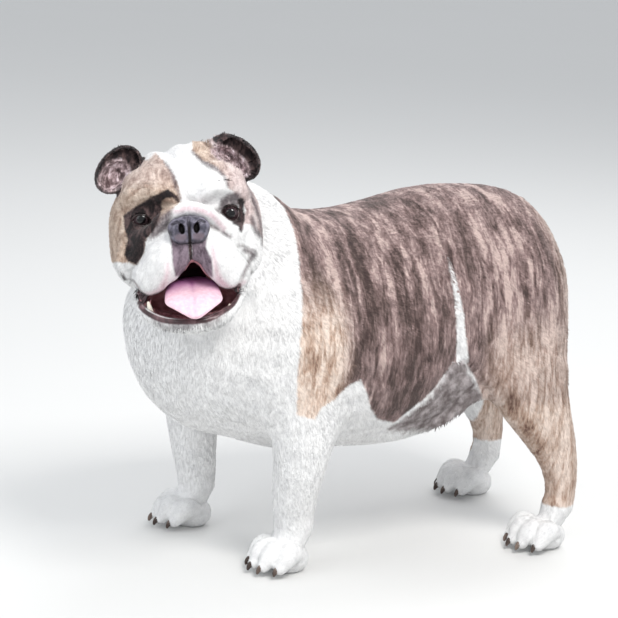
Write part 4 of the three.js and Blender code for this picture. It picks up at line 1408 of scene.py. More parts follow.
@dataclass
class Skin(Part):
    """The dog's skin in one piece, from the nose to the tail, without its coat."""

    voxel: float = 2.6
    coat_depth: float = 1.2
    fine_share: float = 0.45
    even_rounds: int = 60
    least_weight: float = 0.01
    broad_triangles: int = 95000
    ear_reach: tuple = (33, 24, 24)
    flesh: tuple = ("head", "neck", "torso", "tail")
    limbs: tuple = ("foreleg_", "forepaw_", "hindleg_", "hindpaw_", "ear_")

    def nodes(self) -> list[str]:
        """The nodes of the solids that the skin stands for."""
        return [*self.flesh, *[limb + side.label for limb in self.limbs for side in Side]]

    def fused(self, solids: dict) -> Mesh:
        """One closed mesh round copies of the flesh nodes.

        Args:
            solids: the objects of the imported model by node.

        Returns:
            A mesh of small even squares.
        """
        bm = bmesh.new()
        for name in self.nodes():
            bm.from_mesh(solids[name].data)
        bmesh.ops.remove_doubles(bm, verts=bm.verts, dist=1e-6)
        rough = mesh_from(bm, "rough")
        carrier = new_object("rough", rough)
        remesh = carrier.modifiers.new("even", "REMESH")
        remesh.mode = "VOXEL"
        remesh.voxel_size = self.voxel * MM
        made = evaluated(carrier)
        bpy.data.objects.remove(carrier)
        bpy.data.meshes.remove(rough)
        self.refine(made)
        return made

    def refine(self, mesh: Mesh) -> None:
        """Halves the squares of the face and the ears."""
        close = self.regions(self.stance.millimetres(points_of(mesh)))["face"] > 0.5
        bm = bmesh.new()
        bm.from_mesh(mesh)
        chosen = [edge for edge in bm.edges if close[edge.verts[0].index] and close[edge.verts[1].index]]
        bmesh.ops.subdivide_edges(bm, edges=chosen, cuts=1, use_grid_fill=True)
        bmesh.ops.triangulate(bm, faces=[face for face in bm.faces if len(face.verts) > 4])
        bm.to_mesh(mesh)
        bm.free()

    def regions(self, points: Rows) -> dict[str, Rows]:
        """How far each point belongs to the head, the ears, the paws and the legs.

        Args:
            points: one row each, in the dog's frame.

        Returns:
            Shares from 0 to 1 by region.
        """
        local = self.head.inward(points)
        z = points[:, 2]
        head = smooth_step(10, -8, self.head.behind(local))
        ears = [smooth_step(3.0, -1.0, Ear(side).shell(local, self.ear_reach)) for side in Side]
        return {
            "face": smooth_step(44, 40, local[:, 1]) * (np.abs(local[:, 0]) < 110) * (z > 240),
            "head": head,
            "ears": np.maximum(*ears),
            "paws": np.maximum.reduce([self.near_paw(*paw, points) for paw in itertools.product(Kind, Side)]),
            "legs": smooth_step(190, 120, z) * (1 - head),
        }

    def near_paw(self, kind: Kind, side: Side, points: Rows) -> Rows:
        """How far each point belongs to one paw, from 0 to 1."""
        gap = self.stance.off_paw(self.stance.paw_inward(kind, side, points))
        return smooth_step(64, 50, gap) * smooth_step(62, 44, points[:, 2])

    def body_strokes(self) -> list[Stroke]:
        """The folds and muscles of the body, in the dog's frame."""
        return [
            Stroke(
                [(122, 24, 262), (124, 30, 240), (122, 44, 222), (110, 72, 192), (102, 100, 160)], 11, -5.0
            ),
            Stroke([(108, -37, 166), (118, -16, 187), (125, 6, 214), (126, 22, 240)], 10, -2.6),
            Stroke([(112, -30, 158), (120, -6, 186), (124, 14, 214)], 12, 2.0),
            Stroke([(60, -196, 352), (84, -196, 318), (96, -206, 280)], 16, 2.4),
            Stroke([(-30, -262, 300), (10, -276, 268), (40, -262, 240)], 18, -2.6),
            Stroke([(-60, -250, 270), (-20, -282, 232), (24, -280, 206)], 18, 2.6),
            Stroke([(-54, -268, 345), (-66, -276, 312), (-70, -278, 275), (-66, -270, 240)], 46, 9.0, 0.7),
            Stroke([(64, -62, 140), (74, -20, 142), (76, 8, 146)], 32, 5.0, 0.7),
            Stroke([(76, 16, 143), (82, 42, 154), (88, 64, 166)], 24, 7.0, 0.8),
            Stroke([(84, 54, 158), (92, 68, 168), (96, 78, 174)], 24, 7.0, 0.8),
        ]

    def head_strokes(self) -> list[Stroke]:
        """The dips of the crown, in the head's frame."""
        return [
            Stroke([(-10, -8, 60), (-15, 18, 74), (-17, 46, 78), (-14, 78, 68)], 17, -8.0, 0.8),
            Stroke([(20, -6, 60), (24, 10, 68)], 11, -3.0),
            Stroke([(17, 26, 74), (27, 23, 77), (38, 22, 77)], 15, 8.0, 0.6),
        ]

    def made(self, solids: dict) -> Object:
        """Builds the skin.

        Args:
            solids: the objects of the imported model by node.

        Returns:
            The finished piece.
        """
        mesh = self.fused(solids)
        web = Web.of(mesh)
        points = self.stance.millimetres(points_of(mesh))
        region = self.regions(points)
        fine = np.maximum.reduce([region["head"], region["ears"], region["paws"]])
        body = (1 - fine) * (1 - 0.65 * region["legs"])
        points = web.relaxed(points, body, self.even_rounds)
        points = web.relaxed(points, np.maximum(body, 0.5 * fine), 4)
        local = self.head.inward(points)
        gap = np.abs(self.form.distance(local))
        weight = region["head"] * smooth_step(16, 10, gap)
        chosen = np.flatnonzero(weight > self.least_weight)
        moved = settled(local[chosen], self.form.distance, weight[chosen], 5)
        points[chosen] = self.head.outward(moved)
        self.shape_paws(points)
        points = web.relaxed(points, 0.45 * fine, 1)
        set_points(mesh, self.stance.metres(points))
        normals = normals_of(mesh)
        lift = np.sum([stroke.lift(points) for stroke in self.body_strokes()], axis=0)
        local = self.head.inward(points)
        lift += np.sum([stroke.lift(local) for stroke in self.head_strokes()], axis=0)
        depth = self.coat_depth * (1 - (1 - self.fine_share) * fine)
        points += normals * (lift - depth)[:, None]
        points[:, 2] = np.maximum(points[:, 2], 0.0)
        set_points(mesh, self.stance.metres(points))
        skin = new_object("skin", mesh)
        self.thin_out(skin, np.maximum(region["face"], region["paws"]))
        return skin

    def shape_paws(self, points: Rows) -> None:
        """Draws the toes of all four paws into the skin's points."""
        paw = PawForm()
        for kind, side in itertools.product(Kind, Side):
            local = self.stance.paw_inward(kind, side, points)
            weight = smooth_step(62, 54, self.stance.off_paw(local)) * smooth_step(46, 34, points[:, 2])
            chosen = np.flatnonzero(weight > self.least_weight)
            moved = settled(local[chosen], paw.distance, weight[chosen], 4)
            points[chosen] = self.stance.paw_outward(kind, side, moved)

    def line_throat(self, skin: Object, throat_shade_lining: Material) -> None:
        """Gives the back of the open mouth its own near-black finish: painted shade where the throat lies in
        darkness.
        """
        skin.data.materials.append(throat_shade_lining)
        local = self.head.inward(self.stance.millimetres(points_of(skin.data)))
        x, y, z = local.T
        deep = (self.form.mouth.distance(local) < 2.0) & (y > -24) & (np.abs(x) < 16) & (z > -76)
        index = [int(all(deep[number] for number in face.vertices)) for face in skin.data.polygons]
        skin.data.polygons.foreach_set("material_index", index)

    def thin_out(self, skin: Object, keep: Rows) -> None:
        """Takes faces out of the broad body, and leaves the head and paws fine.

        Args:
            skin: the piece to thin.
            keep: how far each vertex is to be kept, from 0 to 1.
        """
        corners = triangles_of(skin.data)
        kept = keep > 0.3
        fine = np.count_nonzero(kept[corners].any(axis=1))
        group = skin.vertex_groups.new(name="broad")
        group.add(np.flatnonzero(~kept).tolist(), 1.0, "REPLACE")
        thin = skin.modifiers.new("thin", "DECIMATE")
        thin.ratio = min(1.0, (fine + self.broad_triangles) / len(corners))
        thin.vertex_group = group.name
        thin.vertex_group_factor = 1.0
        made = evaluated(skin)
        old = skin.data
        skin.modifiers.clear()
        skin.vertex_groups.clear()
        skin.data = made
        bpy.data.meshes.remove(old)
        made.name = "skin"
        made.shade_smooth()


@dataclass
class Graph:
    """A node tree under construction."""

    tree: NodeTree

    def node(self, kind: str, settings: dict | None = None, **inputs: Value) -> Node:
        """Adds a node.

        Args:
            kind: the node's type.
            settings: its properties.
            **inputs: values or sockets for its inputs, named as they are but with _ for a space.

        Returns:
            The node.
        """
        made = self.tree.nodes.new(kind)
        for key, value in (settings or {}).items():
            setattr(made, key, value)
        for key, value in inputs.items():
            self.feed(made.inputs[key.replace("_", " ")], value)
        return made

    def feed(self, socket: NodeSocket, value: Value) -> None:
        """Links a socket, or sets a value."""
        if isinstance(value, NodeSocket):
            self.tree.links.new(value, socket)
        else:
            socket.default_value = value

    def math(self, operation: str, first: Value, second: Value) -> NodeSocket:
        """The result of one sum on two values."""
        made = self.node("ShaderNodeMath", {"operation": operation})
        self.feed(made.inputs[0], first)
        self.feed(made.inputs[1], second)
        return made.outputs[0]

    def add(self, first: Value, second: Value) -> NodeSocket:
        """Two values added."""
        return self.math("ADD", first, second)

    def times(self, first: Value, second: Value) -> NodeSocket:
        """Two values multiplied."""
        return self.math("MULTIPLY", first, second)

    def mark(self, name: str) -> NodeSocket:
        """A number stored on the mesh."""
        return self.node("ShaderNodeAttribute", {"attribute_name": name}).outputs["Fac"]

    def places(self, stretch: tuple = (1, 1, 1)) -> NodeSocket:
        """The object's own coordinates, stretched along each axis."""
        found = self.node("ShaderNodeTexCoord").outputs["Object"]
        return self.node("ShaderNodeMapping", Vector=found, Scale=stretch).outputs[0]

    def noise(
        self, scale: Value, stretch: tuple = (1, 1, 1), detail: float = 2.0, distortion: float = 0.0
    ) -> NodeSocket:
        """A soft random value between 0 and 1, whose features are as many to the metre as the scale says."""
        places = self.places(stretch)
        settings = {"Vector": places, "Scale": scale, "Detail": detail, "Distortion": distortion}
        return self.node("ShaderNodeTexNoise", **settings).outputs["Fac"]

    def step(self, value: Value, low: float, high: float) -> NodeSocket:
        """A share that rises softly from 0 at low to 1 at high."""
        made = self.node("ShaderNodeMapRange", {"interpolation_type": "SMOOTHSTEP"})
        for index, put in enumerate((value, low, high, 0.0, 1.0)):
            self.feed(made.inputs[index], put)
        return made.outputs[0]

    def mix(self, share: Value, first: Value, second: Value, way: str = "MIX") -> NodeSocket:
        """Two colours mixed by a share."""
        made = self.node("ShaderNodeMix", {"data_type": "RGBA", "blend_type": way})
        for index, value in ((0, share), (6, first), (7, second)):
            self.feed(made.inputs[index], (*value, 1) if isinstance(value, tuple) else value)
        return made.outputs[2]

    def ramp(self, value: Value, stops: tuple) -> NodeSocket:
        """A colour for a value, through stops of a place and a colour."""
        made = self.node("ShaderNodeValToRGB", Fac=value)
        bar = made.color_ramp
        for index, (place, colour) in enumerate(stops):
            stop = bar.elements[index] if index < 2 else bar.elements.new(place)
            stop.position = place
            stop.color = (*colour, 1)
        return made.outputs["Color"]


def new_group(name: str, inputs: dict, outputs: dict) -> tuple[Graph, dict, dict]:
    """Starts a shader node group.

    Args:
        name: the group's name.
        inputs: the value of each number that it takes.
        outputs: the type of each value that it gives, such as Float.

    Returns:
        Its graph, and the sockets of its inputs and of its outputs by name.
    """
    tree = bpy.data.node_groups.new(name, "ShaderNodeTree")
    for key, value in inputs.items():
        tree.interface.new_socket(key, in_out="INPUT", socket_type="NodeSocketFloat").default_value = value
    for key, kind in outputs.items():
        tree.interface.new_socket(key, in_out="OUTPUT", socket_type="NodeSocket" + kind)
    graph = Graph(tree)
    taken = graph.node("NodeGroupInput").outputs
    given = graph.node("NodeGroupOutput").inputs
    return graph, {key: taken[key] for key in inputs}, {key: given[key] for key in outputs}


@dataclass(frozen=True)
class Tones:
    """The colours of the coat and of the bare skin, and of the painted shade on the flank, in the face's
    folds and in the throat.
    """

    white: tuple = (0.83, 0.828, 0.826)
    shade: tuple = (0.74, 0.738, 0.742)
    grey: tuple = (0.50, 0.50, 0.51)
    # Painted shade for the white of the lower flank between the belly and the thigh.
    groin: tuple = (
        (0.35, (0.130, 0.100, 0.098)),
        (0.52, (0.270, 0.235, 0.235)),
        (0.68, (0.460, 0.410, 0.415)),
    )
    brindle: tuple = (
        (0.40, (0.042, 0.025, 0.026)),
        (0.465, (0.132, 0.083, 0.083)),
        (0.53, (0.262, 0.178, 0.176)),
        (0.60, (0.510, 0.385, 0.358)),
    )
    golden: tuple = (
        (0.375, (0.150, 0.072, 0.050)),
        (0.455, (0.410, 0.275, 0.205)),
        (0.535, (0.590, 0.445, 0.360)),
        (0.625, (0.800, 0.670, 0.580)),
    )
    tan: tuple = (
        (0.30, (0.190, 0.118, 0.090)),
        (0.45, (0.400, 0.290, 0.225)),
        (0.58, (0.580, 0.460, 0.375)),
        (0.75, (0.780, 0.680, 0.600)),
    )
    pale: tuple = (
        (0.30, (0.330, 0.245, 0.240)),
        (0.48, (0.620, 0.510, 0.510)),
        (0.68, (0.820, 0.730, 0.735)),
    )
    dark: tuple = (
        (0.40, (0.007, 0.004, 0.005)),
        (0.50, (0.028, 0.016, 0.017)),
        (0.62, (0.105, 0.066, 0.064)),
    )
    mauve: tuple = ((0.36, (0.070, 0.048, 0.064)), (0.64, (0.240, 0.185, 0.225)))
    # Painted shade of the face's folds and creases, also the faint tint of the chin fringe.
    smoky: tuple = (
        (0.36, (0.045, 0.032, 0.036)),
        (0.50, (0.130, 0.100, 0.110)),
        (0.66, (0.310, 0.270, 0.270)),
    )
    cup: tuple = (
        (0.38, (0.085, 0.052, 0.054)),
        (0.48, (0.240, 0.175, 0.180)),
        (0.56, (0.560, 0.430, 0.450)),
        (0.66, (0.860, 0.760, 0.800)),
    )
    pink: tuple = ((0.3, (0.56, 0.38, 0.42)), (0.7, (0.84, 0.70, 0.74)))
    mouth: tuple = (
        (0.36, (0.300, 0.110, 0.120)),
        (0.52, (0.460, 0.210, 0.230)),
        (0.68, (0.620, 0.360, 0.380)),
    )
    lip: tuple = (
        (0.36, (0.035, 0.018, 0.020)),
        (0.52, (0.085, 0.042, 0.047)),
        (0.68, (0.220, 0.130, 0.140)),
    )
    # Painted shade: the near-black far inside the mouth.
    throat: tuple = (0.008, 0.002, 0.003)


def coat_colours(tones: Tones) -> NodeTree:
    """Builds the group that colours skin and coat from the markings stored on them, painted shade among them.

    Args:
        tones: the colours.

    Returns:
        The group.
    """
    g, taken, given = new_group(
        "coat colours",
        {"Fringe": 5.0, "Softness": 1.4},
        {"Colour": "Color", "Bare": "Float", "Wet": "Float"},
    )
    ragged = g.math("SUBTRACT", g.noise(230, (1, 0.5, 0.4), 3.0), 0.5)
    fine = g.math("SUBTRACT", g.noise(520, (1, 1, 0.7), 2.0), 0.5)
    hairy = g.times(g.add(ragged, g.times(fine, 0.7)), taken["Fringe"])

    def share(name: str, fringe: float, softness: float = 1.0) -> NodeSocket:
        """The share of a marking, its border broken up by hair."""
        depth = g.add(g.mark(name), g.times(hairy, fringe))
        return g.step(g.math("DIVIDE", depth, g.times(taken["Softness"], softness)), -1.0, 1.0)

    def mean(first: Value, part: float, second: Value, rest: float) -> NodeSocket:
        """The sum of a part of one value and the rest of another."""
        return g.add(g.times(first, part), g.times(second, rest))

    mottle = g.noise(90, (1, 1, 1), 4.0)
    hair = g.noise(700, (1, 0.6, 0.5), 2.0)
    wide = g.noise(1.0, (16, 46, 11), 4.0, 0.9)
    narrow = g.noise(1.0, (40, 130, 30), 4.0, 0.8)
    flecks = g.noise(1.0, (300, 420, 110), 3.0)
    streaks = mean(g.noise(1.0, (120, 120, 60), 4.0, 0.8), 0.75, hair, 0.25)
    blotches = mean(g.noise(1.0, (170, 170, 105), 3.0, 0.6), 0.8, hair, 0.2)

    colour = g.mix(g.step(mottle, 0.42, 0.75), tones.white, tones.shade)
    grey = g.step(g.add(g.mark("grey"), g.times(ragged, 26.0)), -4.0, 12.0)
    colour = g.mix(g.times(grey, 0.55), colour, tones.grey)
    # Painted shade on the white of the lower flank between the belly and the thigh.
    groin = g.step(g.add(g.mark("groin"), g.times(ragged, 18.0)), -3.0, 9.0)
    colour = g.mix(groin, colour, g.ramp(mottle, tones.groin))

    single = g.times(g.mark("stripe"), g.add(0.045, g.times(narrow, 0.11)))
    striped = g.add(g.add(mean(wide, 0.40, narrow, 0.40), g.times(flecks, 0.20)), single)
    even = g.add(g.add(mean(wide, 0.18, narrow, 0.52), g.times(flecks, 0.30)), 0.065)
    even = g.add(even, g.times(single, 1.1))
    warm = g.mark("warm")
    brindle = g.mix(warm, g.ramp(striped, tones.brindle), g.ramp(even, tones.golden))
    colour = g.mix(share("brindle", 0.8, 1.4), colour, brindle)
    tan = g.mix(warm, g.ramp(streaks, tones.tan), g.ramp(streaks, tones.pale))
    colour = g.mix(share("tan", 1.0), colour, tan)
    # Painted shade in the face's folds, and the chin fringe's faint tint.
    colour = g.mix(g.times(share("smoky", 0.8, 2.0), 0.9), colour, g.ramp(streaks, tones.smoky))
    colour = g.mix(share("dark", 0.7), colour, g.ramp(streaks, tones.dark))
    colour = g.mix(g.times(share("pink", 0.6, 2.2), 0.85), colour, g.ramp(streaks, tones.pink))
    colour = g.mix(share("cup", 0.5, 1.6), colour, g.ramp(blotches, tones.cup))
    mauve = share("mauve", 0.35, 1.2)
    colour = g.mix(mauve, colour, g.ramp(streaks, tones.mauve))

    depth = g.mark("mouth")
    mouth = share("mouth", 0.1, 0.8)
    inside = g.mix(g.step(depth, 2.6, 6.0), g.ramp(mottle, tones.lip), g.ramp(mottle, tones.mouth))
    colour = g.mix(mouth, colour, inside)
    # Painted shade: near-black far inside the mouth.
    colour = g.mix(g.times(g.step(depth, 18.0, 42.0), 0.9), colour, tones.throat)
    strand = g.add(0.86, g.times(hair, 0.28))
    toned = g.times(strand, g.add(1.0, g.times(g.mark("tone"), 0.16)))
    tone = g.node("ShaderNodeCombineColor", Red=toned, Green=toned, Blue=toned).outputs[0]
    g.feed(given["Colour"], g.mix(1.0, colour, tone, "MULTIPLY"))
    g.feed(given["Bare"], g.math("MAXIMUM", mauve, mouth))
    g.feed(given["Wet"], g.times(mouth, g.step(depth, 12.0, 3.0)))
    return g.tree


def grain() -> NodeTree:
    """Builds the group for a fine uneven surface: a height and a share that varies over it."""
    g, taken, given = new_group(
        "grain", {"Size": 400.0, "Pebbles": 0.5}, {"Height": "Float", "Share": "Float"}
    )
    size = taken["Size"]
    cells = g.node("ShaderNodeTexVoronoi", {"feature": "DISTANCE_TO_EDGE"}, Vector=g.places(), Scale=size)
    pebbled = g.times(g.step(cells.outputs["Distance"], 0.0, 0.16), taken["Pebbles"])
    g.feed(given["Height"], g.add(pebbled, g.times(g.noise(size, detail=3.0), 0.5)))
    broad = g.noise(g.times(size, 0.2), detail=3.0)
    g.feed(given["Share"], g.step(broad, 0.35, 0.68))
    return g.tree


@dataclass
class Finish:
    """A material under construction, with one shader."""

    name: str
    roughness: float = 0.5
    coat: float = 0.0
    sheen: float = 0.0
    specular: float = 0.2

    def begun(self) -> tuple[Material, Graph, Node]:
        """Makes the material with its constant values."""
        material = bpy.data.materials.new(self.name)
        material.use_nodes = True
        shader = material.node_tree.nodes["Principled BSDF"]
        constants = {
            "Roughness": self.roughness,
            "Coat Weight": self.coat,
            "Coat Roughness": 0.05,
            "Sheen Weight": self.sheen,
            "Sheen Roughness": 0.6,
            "Specular IOR Level": self.specular,
        }
        for name, value in constants.items():
            shader.inputs[name].default_value = value
        return material, Graph(material.node_tree), shader

    def bumped(self, g: Graph, shader: Node, height: Value, depth: float) -> None:
        """Lets a height press into the surface to a depth in metres."""
        bump = g.node("ShaderNodeBump", Strength=1.0, Distance=depth, Height=height)
        g.feed(shader.inputs["Normal"], bump.outputs[0])


@dataclass
class CoatFinish(Finish):
    """Skin or hair, coloured by its markings and painted shade."""

    fringe: float = 5.0
    hair_depth: float = 0.0004

    def made(self, colours: NodeTree) -> Material:
        """Builds the material from the shared colours."""
        material, g, shader = self.begun()
        group = g.node("ShaderNodeGroup", {"node_tree": colours}, Fringe=self.fringe)
        g.feed(shader.inputs["Base Color"], group.outputs["Colour"])
        bare = group.outputs["Bare"]
        g.feed(shader.inputs["Roughness"], g.math("SUBTRACT", self.roughness, g.times(bare, 0.3)))
        g.feed(shader.inputs["Coat Weight"], g.times(group.outputs["Wet"], 0.3))
        hairs = g.noise(1500, (1, 0.35, 0.35), 3.0)
        smooth = g.math("SUBTRACT", 1.0, g.times(bare, 0.6))
        self.bumped(g, shader, g.times(hairs, smooth), self.hair_depth)
        return material


@dataclass
class GrainFinish(Finish):
    """A bare surface of two colours, with a fine grain pressed into it and painted shade where its mesh
    stores a share of it.
    """

    low: tuple = (0.05, 0.05, 0.05)
    high: tuple = (0.1, 0.1, 0.1)
    # The colour of painted shade, mixed in by a share stored on the mesh.
    hollow: tuple = (0.01, 0.006, 0.006)
    blush: tuple = (0.20, 0.15, 0.18)
    size: float = 400.0
    pebbles: float = 0.5
    depth: float = 0.0003

    def made(self, grains: NodeTree) -> Material:
        """Builds the material from the shared grain."""
        material, g, shader = self.begun()
        group = g.node("ShaderNodeGroup", {"node_tree": grains}, Size=self.size, Pebbles=self.pebbles)
        colour = g.mix(g.mark("blush"), g.mix(group.outputs["Share"], self.low, self.high), self.blush)
        # Painted shade, by the share stored on the mesh.
        g.feed(shader.inputs["Base Color"], g.mix(g.mark("deep"), colour, self.hollow))
        wear = g.times(group.outputs["Share"], 0.15)
        g.feed(shader.inputs["Roughness"], g.add(self.roughness, wear))
        self.bumped(g, shader, group.outputs["Height"], self.depth)
        return material


@dataclass
class EyeFinish(Finish):
    """A wet dark brown eye: pupil, iris and the edge of the white."""

    iris_edge: float = 0.67
    pupil_edge: float = 0.93
    white: tuple = (0.42, 0.36, 0.36)
    vein: tuple = (0.40, 0.20, 0.19)
    iris: tuple = ((0.016, 0.010, 0.012), (0.080, 0.050, 0.056))
    pupil: tuple = (0.001, 0.0005, 0.001)

    def made(self) -> Material:
        """Builds the material from how far each point faces along the gaze."""
        material, g, shader = self.begun()
        gaze = g.mark("gaze")
        veins = g.noise(500, (1, 1, 1), 4.0, 0.6)
        white = g.mix(g.step(veins, 0.5, 0.75), self.white, self.vein)
        iris = g.mix(g.step(g.noise(900, (1, 1, 1), 3.0), 0.35, 0.7), *self.iris)
        colour = g.mix(g.step(gaze, self.iris_edge - 0.02, self.iris_edge + 0.012), white, iris)
        colour = g.mix(g.step(gaze, self.pupil_edge - 0.008, self.pupil_edge + 0.006), colour, self.pupil)
        g.feed(shader.inputs["Base Color"], colour)
        g.feed(shader.inputs["Roughness"], g.add(self.roughness, g.times(veins, 0.04)))
        return material


@dataclass
class Eye(Part):
    """One eyeball with a bulging front, which looks towards a point."""

    side: Side
    towards: Rows
    bulge: float = 1.3

    def made(self) -> Object:
        """Builds the eye."""
        name = "eyeball_" + self.side.label
        mesh = ball_mesh(name, 64, 40)
        unit = points_of(mesh)
        middle = self.head.outward(self.form.eye(self.side))
        gaze = self.towards - middle
        gaze /= np.linalg.norm(gaze)
        turn = np.array(Vector((0, 0, 1)).rotation_difference(Vector(gaze)).to_matrix())
        facing = unit[:, 2]
        radius = self.form.eye_radius - 0.1 + self.bulge * smooth_step(0.80, 0.96, facing)
        places = (unit * radius[:, None]) @ turn.T + middle
        set_points(mesh, self.stance.metres(places))
        set_value(mesh, "gaze", facing)
        return new_object(name, mesh)


@dataclass
class LidRim(Part):
    """The dark wet rim round one eye's opening."""

    side: Side
    thickness: float = 1.25
    stand: float = 0.9
    inset: float = 0.3

    def made(self) -> Object:
        """Builds the rim as a closed tube."""
        name = "lid_rim_" + self.side.label
        middle = self.form.eye(self.side)
        flat = self.form.lid_line(self.side) - middle[[0, 2]]
        flat *= 1 - self.inset / np.linalg.norm(flat, axis=1)[:, None]
        radius = self.form.eye_radius + self.stand
        depth = np.sqrt(np.maximum(radius**2 - (flat**2).sum(1), 1))
        ring = np.column_stack([middle[0] + flat[:, 0], -depth, middle[2] + flat[:, 1]])
        mesh = hoop_mesh(name, ring, self.thickness, 12, middle)
        self.place_on_head(mesh, points_of(mesh))
        weld(mesh)
        return new_object(name, mesh)


def hoop_mesh(name: str, ring: Rows, radius: float, around: int, middle: Rows) -> Mesh:
    """A tube along a closed ring, rolled up from a grid whose edges still have to be welded.

    Args:
        name: the mesh's name.
        ring: the points that the tube follows.
        radius: its half thickness.
        around: how many faces it has around.
        middle: a point inside the ring, from which its outer side is told.

    Returns:
        The mesh, in the ring's own units.
    """
    count = len(ring)
    bm = bmesh.new()
    bmesh.ops.create_grid(bm, x_segments=count, y_segments=around, size=1.0)
    mesh = mesh_from(bm, name)
    flat = points_of(mesh)
    place = (flat[:, 0] + 1) / 2 * count
    low = np.floor(place + 1e-6).astype(int) % count
    angle = (flat[:, 1] + 1) * math.pi
    ahead = unit_rows(np.roll(ring, -1, axis=0) - np.roll(ring, 1, axis=0))
    out = ring - middle
    out = unit_rows(out - ahead * (out * ahead).sum(1)[:, None])
    across = np.cross(ahead, out)
    around_ring = out[low] * np.cos(angle)[:, None] + across[low] * np.sin(angle)[:, None]
    set_points(mesh, ring[low] + radius * around_ring)
    return mesh


def weld(mesh: Mesh) -> None:
    """Joins vertices that lie on each other, and turns the faces outwards."""
    bm = bmesh.new()
    bm.from_mesh(mesh)
    bmesh.ops.remove_doubles(bm, verts=bm.verts, dist=1e-5)
    bmesh.ops.recalc_face_normals(bm, faces=bm.faces)
    bm.to_mesh(mesh)
    bm.free()


@dataclass
class Nose(Part):
    """The nose: two wings round comma-shaped nostrils, parted by a groove."""

    def distance(self, points: Rows) -> Rows:
        """The distance to the nose's skin without its openings, negative inside."""
        mass = [
            Egg((0, -43, -15), (20, 14, 12.5)),
            Egg((0, -49, -22), (9, 8, 8)),
            Egg((0, -50, -8), (12, 7, 6)),
        ]
        for side in Side:
            s = side.value
            mass.append(Egg((s * 11.5, -48, -14), (9.5, 10, 10), (0, s * 18, 0)))
            mass.append(Egg((s * 9.5, -47, -22), (7.5, 8, 8)))
        return blended(mass, 5.0, points)

    def openings(self, points: Rows) -> Rows:
        """How far each point is pressed in by the nostrils, the slits beside them and the groove."""
        flat = points * np.array([1, 0, 1])
        press = np.zeros(len(points))
        for side in Side:
            s = side.value
            hole = Egg((s * 7.6, 0, -14.5), (3.1, 9, 5.4), (0, s * 8, 0)).distance(flat)
            stops = mirrored(side, [(8.0, 0, -10.5), (12.0, 0, -7.6), (16.5, 0, -9.4)])
            slit = Cord(stops, 1.5).distance(flat)
            press += 9.0 * smooth_step(0.7, -1.4, hole) + 3.0 * smooth_step(1.0, -1.0, slit)
        groove = Cord([(0, 0, -4), (0, 0, -16), (0, 0, -33)], 1.4, 1.2).distance(flat)
        front = smooth_step(-45, -50, points[:, 1])
        return front * (np.minimum(press, 9.5) + 2.6 * smooth_step(1.2, -0.8, groove))

    def made(self) -> Object:
        """Builds the nose."""
        bm = bmesh.new()
        bmesh.ops.create_icosphere(bm, subdivisions=6, radius=1.0)
        mesh = mesh_from(bm, "nose_leather")
        web = Web.of(mesh)
        spots = points_of(mesh) * np.array([21, 14, 13]) + np.array([0, -45, -15])
        every = np.ones(len(spots))
        for _ in range(4):
            spots = settled(spots, self.distance, every, 2, 1.5)
            spots = web.relaxed(spots, 0.5 * every, 1)
        spots = settled(spots, self.distance, every, 1, 0.5)
        press = self.openings(spots)
        spots[:, 1] += press
        self.place_on_head(mesh, spots)
        # Painted shade: darker in the nostrils, down the middle groove, along the outer edges and on the
        # underside.
        across, z = np.abs(spots[:, 0]), spots[:, 2]
        line = smooth_step(2.0, 0.7, across) * smooth_step(-9, -16, z)
        edge = smooth_step(16.5, 20, across) * smooth_step(-12, -18, z)
        under = 0.75 * smooth_step(-26, -30, z) + 0.6 * edge
        set_value(mesh, "deep", np.clip(press / 6 + 0.85 * line + under, 0, 1))
        flat = np.column_stack([2 * (across - 9), 0 * z, z])
        lobe = Egg((0, 0, -23), (13, 30, 4.5)).distance(flat)
        set_value(mesh, "blush", 0.8 * smooth_step(1.5, -3, lobe))
        return new_object("nose_leather", mesh)


@dataclass
class Tongue(Part):
    """The tongue: broad at the lip, with a groove, hanging forward to a blunt tip."""

    stations: tuple = (
        (0, 34, -68, 18, 6.5),
        (0, -4, -69, 24, 5.8),
        (0, -34, -81, 29, 5.2),
        (0, -48, -87, 28, 4.6),
        (0, -56, -94, 20, 4.2),
        (0, -61, -101, 11, 3.6),
        (0, -63, -106, 4, 3.0),
    )

    def made(self) -> Object:
        """Builds the tongue."""
        ball = ball_mesh("tongue_flesh", 96, 120)
        places = strung(ball, list(self.stations), blunt=0.5)
        across = np.abs(places[:, 0])
        length = smooth_step(10, -30, places[:, 1]) * smooth_step(-103, -97, places[:, 2])
        groove = 1.1 * length * np.exp(-((across / 2.4) ** 2))
        droop = 3.0 * (across / 29) ** 2 * smooth_step(-10, -50, places[:, 1])
        places[:, 2] -= groove + droop
        # Painted shade: darker and more purple towards the back of the mouth and along the groove; some of
        # the purple is the back's own colour.
        deep = smooth_step(-44, -12, places[:, 1]) + 0.16 * np.exp(-((across / 1.8) ** 2)) * length
        self.place_on_head(ball, places)
        set_value(ball, "deep", np.clip(deep, 0, 1))
        return new_object("tongue_flesh", ball)


@dataclass
class Teeth(Part):
    """The two lower canines."""

    def made(self) -> Object:
        """Builds both teeth as one piece."""
        balls = []
        for side in Side:
            ball = ball_mesh("tooth", 20, 16)
            s, low, out = side.value, *((9.0, -9) if side is Side.LEFT else (1.0, 0))
            rows = [
                (s * (43 + out), -24, -97 - low, 2.8, 3.2),
                (s * (45 + out), -28, -90 - low, 2.4, 2.8),
                (s * (46 + out), -30, -84 - low, 1.3, 1.4),
            ]
            self.place_on_head(ball, strung(ball, rows, up=np.array([0, 1.0, 0])))
            balls.append(ball)
        return new_object("teeth", joined("teeth", balls))


